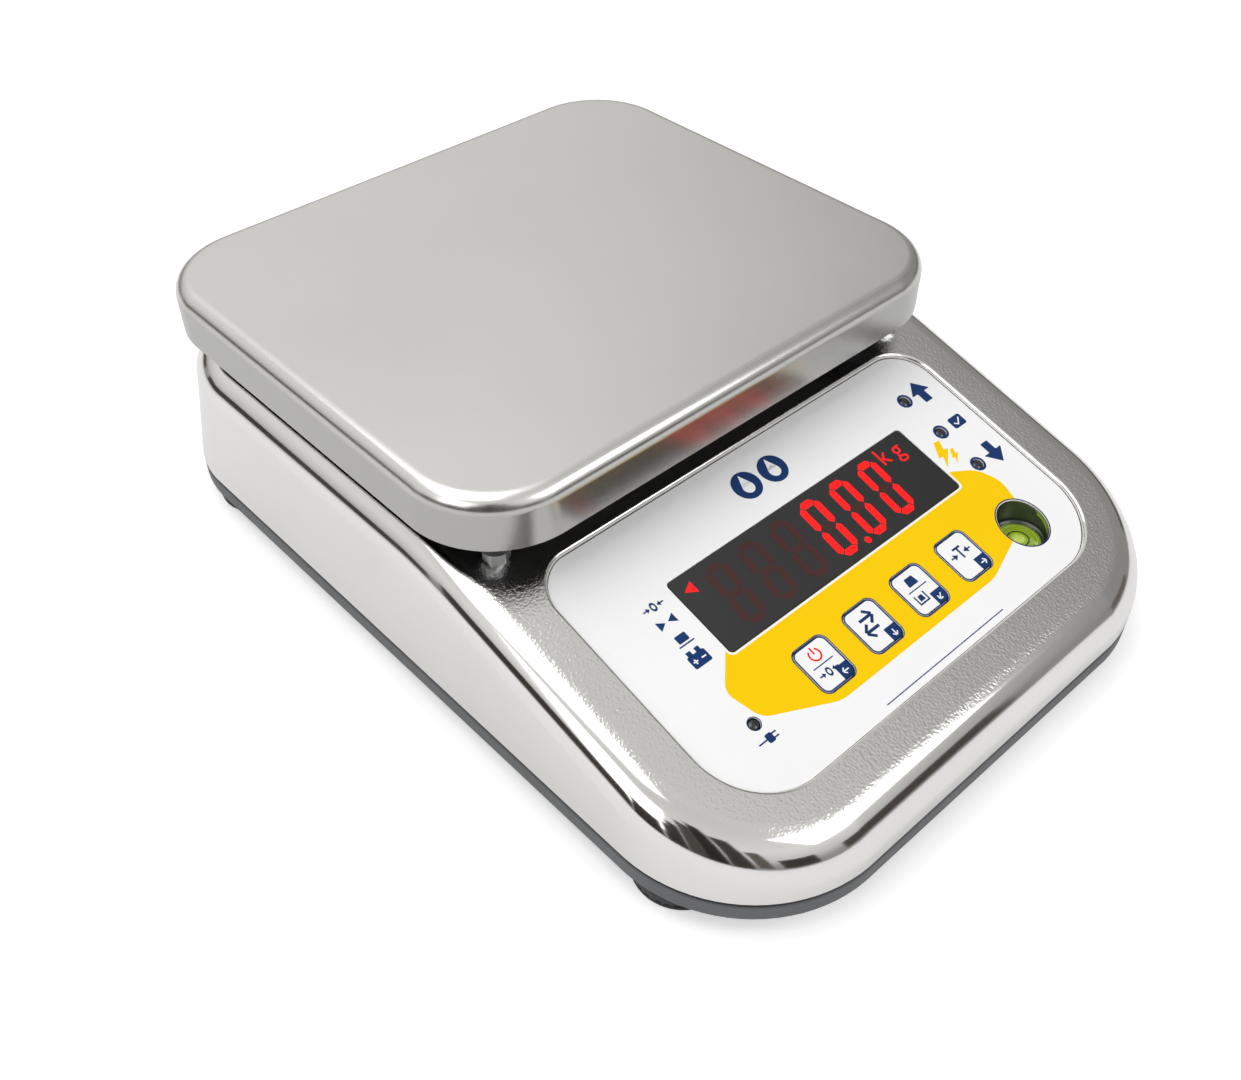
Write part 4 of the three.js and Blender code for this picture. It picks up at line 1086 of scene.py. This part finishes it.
def seal_band():
    bm = bmesh.new()
    low, high = TRAY_TOP + 0.05, GASKET_TOP + 0.25
    section = [(0.5, low), (0.35, TRAY_TOP + 0.4), (0.35, GASKET_TOP - 0.1), (0.5, high)]
    section += [(3.4, high), (3.4, low)]
    rings = [band_ring(bm, inset, z) for inset, z in section]
    bridge(bm, [*rings, rings[0]])
    face_out(bm)
    return bm


def tray_shape():
    """The dish is bridged from rim to rim, its floor is filled, and the holes are punched through."""
    bm = bmesh.new()
    section = [
        (3.0, 9.5), (3.0, TRAY_TOP), (0.4, TRAY_TOP), (0.0, TRAY_TOP - 0.4), (0.0, 9.3), (0.15, 8.5),
        (0.55, 7.9), (1.2, 7.55), (1.8, TRAY_BOTTOM),
    ]
    rings = [band_ring(bm, inset, z) for inset, z in section]
    bridge(bm, rings)
    for ring in (rings[0], rings[-1]):
        bmesh.ops.contextual_create(bm, geom=ring)
    face_out(bm)
    cutter = bmesh.new()
    for x, y in FEET.values():
        boss(cutter, x, y, 5, 11, 4.9, 32)
    for x, y in four_corners(107, -50, 50).values():
        boss(cutter, x, y, 6.5, 10.5, 4.2, 32)
    verts, cap = plate(cutter, 0, 40, 64, 64, 8, 8)
    bmesh.ops.translate(cutter, verts=verts, vec=(54, 0, TRAY_BOTTOM - 2))
    thicken(cutter, cap, (0, 0, 2.8))
    bmesh.ops.recalc_face_normals(cutter, faces=cutter.faces)
    punched(bm, cutter)
    return bm


as_piece("seal_band", seal_band(), black_rubber, "base", ["base_gasket"], "black_rubber")
as_piece("moulded_tray", tray_shape(), tray_plastic, "base", ["base_tray"], "tray_plastic")

# %% [markdown]
# The feet are turned parts: a moulded disc with a knurled edge for the fingers, on a threaded stud,
# with a rubber sole. The pads under the pan and the post's seal are turned rubber too.

# %% Feet, pads, seal and stops
def knurl(bm, centre, radius, low, high, teeth, depth):
    """Every other column of points on the disc's edge is drawn in a little."""
    for vert in bm.verts:
        dx, dy = vert.co.x - centre[0], vert.co.y - centre[1]
        if hypot(dx, dy) > radius - 0.05 and low < vert.co.z < high:
            if round(atan2(dy, dx) / (pi / teeth)) % 2:
                vert.co.x -= dx / radius * depth
                vert.co.y -= dy / radius * depth


for corner, (x, y) in FEET.items():
    body = "foot_" + corner + "_body"
    sole = turned([
        (0, 0.5), (12.2, 0.5), (12.9, 0.0), (15.6, 0.0), (16.3, 0.35), (16.6, 0.9), (16.6, 2.3), (0, 2.3),
    ], (x, y), 72)
    as_piece("rubber_sole_" + corner, sole, black_rubber, body, ["sole_" + corner], "black_rubber")
    disc = turned([
        (0, 2.6), (16.4, 2.6), (17, 3.0), (17, 5.7), (16.5, 6.3), (8, 6.55), (3.9, 6.6), (3.9, 24), (0, 24),
    ], (x, y), 72)
    knurl(disc, (x, y), 17, 2.8, 5.9, 42, 0.45)
    as_piece("foot_disc_" + corner, disc, dark_resin, body, ["foot_" + corner], "dark_resin")

for corner, (x, y) in ARM_ENDS.items():
    pad = turned([
        (0, 93.3), (8, 93.3), (8, 97.6), (7.7, 98.4), (6.6, 99.6), (5.6, 100.15), (2.0, 100.2), (1.6, 99.6),
        (0, 99.5),
    ], (x, y), 48)
    as_piece("rest_pad_" + corner, pad, black_rubber, "support", ["pad_" + corner], "black_rubber")

post_seal = turned([
    (13.4, 74.3), (33, 74.3), (33, 75.4), (26.9, 75.5), (26.0, 76.3), (24.6, 78.0), (22.5, 78.3),
    (20.4, 78.0), (19.0, 76.3), (18.2, 75.5), (15.6, 75.5), (15.3, 79.0), (13.4, 79.0), (13.4, 74.3),
], (0, PAN["y"]), 96)
as_piece("post_bellows", post_seal, black_rubber, "base", ["post_seal"], "black_rubber")
clamp = turned([(27.6, 75.8), (33, 75.8), (33, 77.2), (27.6, 77.2), (27.6, 75.8)], (0, PAN["y"]), 96)
as_piece("clamp_ring", clamp, polished, "base", ["seal_ring"], "stainless", ease=0.2)


def hex_screw(x, y):
    """A hexagon head with a turned crown on a plain shank."""
    radius = 4.6
    low = min(skin(y + radius) + 0.5, STOP_HEAD)
    bm = bmesh.new()
    crown = [v for v in boss(bm, x, y, low, STOP_TOP, radius, 6) if v.co.z > 76]
    bmesh.ops.bevel(bm, geom=crown, offset=0.5, segments=2, profile=0.5, affect="VERTICES", material=-1)
    boss(bm, x, y, skin(y) - 10, low + 0.2, 2.7, 24)
    return bm


for corner, (x, y) in STOPS.items():
    name = "stop_screw_" + corner
    as_piece("stop_bolt_" + corner, hex_screw(x, y), zinc_steel, "base", [name], "zinc_steel", ease=0.15)
print("feet, pads and stops made")

# %% [markdown]
# The support is a casting: a round hub with an arm to each corner of the pan. An arm narrows towards
# its end, and it carries a boss for its pad and a leg that lands on the overload stop.

# %% Cast support
def cast_support():
    bm = bmesh.new()
    hub_y = PAN["y"]
    boss(bm, 0, hub_y, 80.3, ARM_TOP, 22, 64)
    for corner, (x, y) in ARM_ENDS.items():
        length, turn = hypot(x, y - hub_y), atan2(y - hub_y, x)
        place = at(0, hub_y, 89.5) @ Matrix.Rotation(turn, 4, "Z") @ at(length / 2, 0)
        arm = bmesh.ops.create_cube(bm, size=1, matrix=place @ Matrix.Diagonal((length, 16, 7, 1)))
        for vert in arm["verts"]:
            x0, y0 = vert.co.x, vert.co.y - hub_y
            if x0 * cos(turn) + y0 * sin(turn) > 0.5 * length:
                side = 2 if y0 * cos(turn) - x0 * sin(turn) > 0 else -2
                vert.co.x += sin(turn) * side
                vert.co.y -= cos(turn) * side
        boss(bm, x, y, 86, ARM_TOP, 11)
        boss(bm, *STOPS[corner], STOP_TOP + 0.3, ARM_TOP, 5.6, 32)
    return bm


as_piece("cast_spider", cast_support(), black_casting, "support", ["pan_support"], "black_casting", ease=0.5)
print("support cast")

# %% [markdown]
# The setting: a white table that keeps the scale's shadow, a white surround for the camera, and soft
# lamps. Polished metal shows what stands round it, so a few dark and grey screens stand where only
# reflections can see them. They give the shoulders their dark lines.

# %% Table and surround
def table_material():
    made, tree, shader = new_material("table_white", Roughness=0.9)
    shader.inputs["Base Color"].default_value = (0.80, 0.80, 0.80, 1)
    shader.inputs["Specular IOR Level"].default_value = 0.0
    path = add_node(tree, "LightPath")
    direct = math(tree, "MULTIPLY", path.outputs["Is Camera Ray"], TABLE_GLOW)
    mirrored = math(tree, "MULTIPLY", path.outputs["Is Glossy Ray"], TABLE_GLOW_IN_METAL)
    strength = math(tree, "ADD", direct, mirrored)
    glow = add_node(tree, "Emission", {"Color": (1, 1, 1, 1), "Strength": strength})
    both = add_node(tree, "AddShader", {0: shader.outputs[0], 1: glow.outputs[0]})
    tree.links.new(both.outputs[0], tree.nodes["Material Output"].inputs["Surface"])
    return made


TABLE_GLOW = 0.45
TABLE_GLOW_IN_METAL = 0.12
bm = bmesh.new()
bmesh.ops.create_grid(bm, x_segments=1, y_segments=1, size=6.0)
table = placed("table", bm, table_material())
bm.free()


def surround():
    """White to the camera, a soft grey gradient to metal, an even light to everything else."""
    world = bpy.data.worlds.new("surround")
    world.use_nodes = True
    tree = world.node_tree
    ground = tree.nodes["Background"]
    path = add_node(tree, "LightPath")
    direction = add_node(tree, "TexCoord").outputs["Generated"]
    parts = add_node(tree, "SeparateXYZ", {0: direction}).outputs
    ramp = add_node(tree, "ValToRGB", {"Fac": parts["Z"]})
    stops = ramp.color_ramp.elements
    stops[0].position, stops[0].color = 0.0, (0.30, 0.29, 0.28, 1)
    stops[1].position, stops[1].color = 1.0, (0.62, 0.62, 0.61, 1)
    for position, level in ((0.14, 0.34), (0.30, 0.62), (0.55, 0.80), (0.8, 0.70)):
        stop = stops.new(position)
        stop.color = (level, level * 0.995, level * 0.98, 1)
    rightward = remap(tree, parts["X"], 0.46, 0.72, 0.0, 1.0)
    ahead = remap(tree, parts["Y"], 0.45, 0.62, 1.0, 0.0)
    room = mix(tree, math(tree, "MULTIPLY", rightward, ahead), ramp.outputs[0], (0.27, 0.27, 0.262, 1))
    seen = math(tree, "MAXIMUM", path.outputs["Is Camera Ray"], path.outputs["Is Transmission Ray"])
    plain = mix(tree, path.outputs["Is Glossy Ray"], (0.55, 0.55, 0.55, 1), room)
    tree.links.new(mix(tree, seen, plain, (1, 1, 1, 1)), ground.inputs["Color"])
    scene.world = world


surround()


# %% Lamps and screens
def soft_lamp(name, place, size, power, target=(0, 0, 0.05)):
    data = bpy.data.lights.new(name, "AREA")
    data.shape, data.size, data.size_y, data.energy = "RECTANGLE", size[0], size[1], power
    lamp = bpy.data.objects.new(name, data)
    lamp.location = place
    lamp.rotation_euler = (Vector(target) - Vector(place)).to_track_quat("-Z", "Y").to_euler()
    scene.collection.objects.link(lamp)
    return lamp


def screen(name, azimuth, distance, width, low, high, tone):
    """An upright card round the scale, seen only in reflections."""
    bm = bmesh.new()
    bmesh.ops.create_grid(bm, x_segments=1, y_segments=1, size=0.5)
    place = Matrix.Rotation(radians(azimuth), 4, "Z") @ at(0, -distance, (low + high) / 2)
    upright = Matrix.Rotation(radians(90), 4, "X") @ Matrix.Diagonal((width, high - low, 1, 1))
    bmesh.ops.transform(bm, matrix=place @ upright, verts=bm.verts)
    made = bpy.data.materials.new(name)
    made.use_nodes = True
    tree = made.node_tree
    glow = add_node(tree, "Emission", {"Color": (*tone, 1), "Strength": 1.0})
    tree.links.new(glow.outputs[0], tree.nodes["Material Output"].inputs["Surface"])
    card = placed(name, bm, made)
    bm.free()
    card.visible_camera = card.visible_diffuse = card.visible_shadow = card.visible_transmission = False


soft_lamp("lamp_over", (-0.35, 0.35, 1.5), (1.3, 1.1), 9)
soft_lamp("lamp_front", (0.5, -1.1, 1.1), (0.9, 0.6), 4)
soft_lamp("lamp_left", (-1.3, -0.2, 0.8), (0.7, 0.9), 2.5)

SCREENS = (
    (-80, 1.3, 0.40, 0.05, 0.55, 0.03), (-64, 1.4, 0.26, 0.05, 0.95, 0.03),
    (-54, 1.4, 0.20, 0.05, 1.35, 0.06), (-45, 1.5, 0.26, 0.05, 1.75, 0.02),
    (-34, 1.4, 0.24, 0.05, 1.30, 0.04), (-24, 1.4, 0.16, 0.10, 0.80, 0.10),
    (-8, 1.6, 0.46, 0.08, 0.50, 0.04), (24, 1.5, 0.60, 0.10, 0.42, 0.06), (52, 1.7, 0.50, 0.10, 0.34, 0.12),
    (90, 1.6, 0.90, 0.08, 0.30, 0.10), (135, 1.8, 1.1, 0.10, 0.34, 0.10), (180, 1.7, 1.2, 0.10, 0.32, 0.08),
    (225, 1.6, 1.0, 0.10, 0.36, 0.05), (258, 1.5, 0.6, 0.10, 0.50, 0.04),
)
for number, (azimuth, distance, width, low, high, tone) in enumerate(SCREENS):
    warm = (tone * 1.15, tone, tone * 0.85)
    screen("screen_%02d" % number, azimuth, distance, width, low, high, warm)
print(len(SCREENS), "screens")
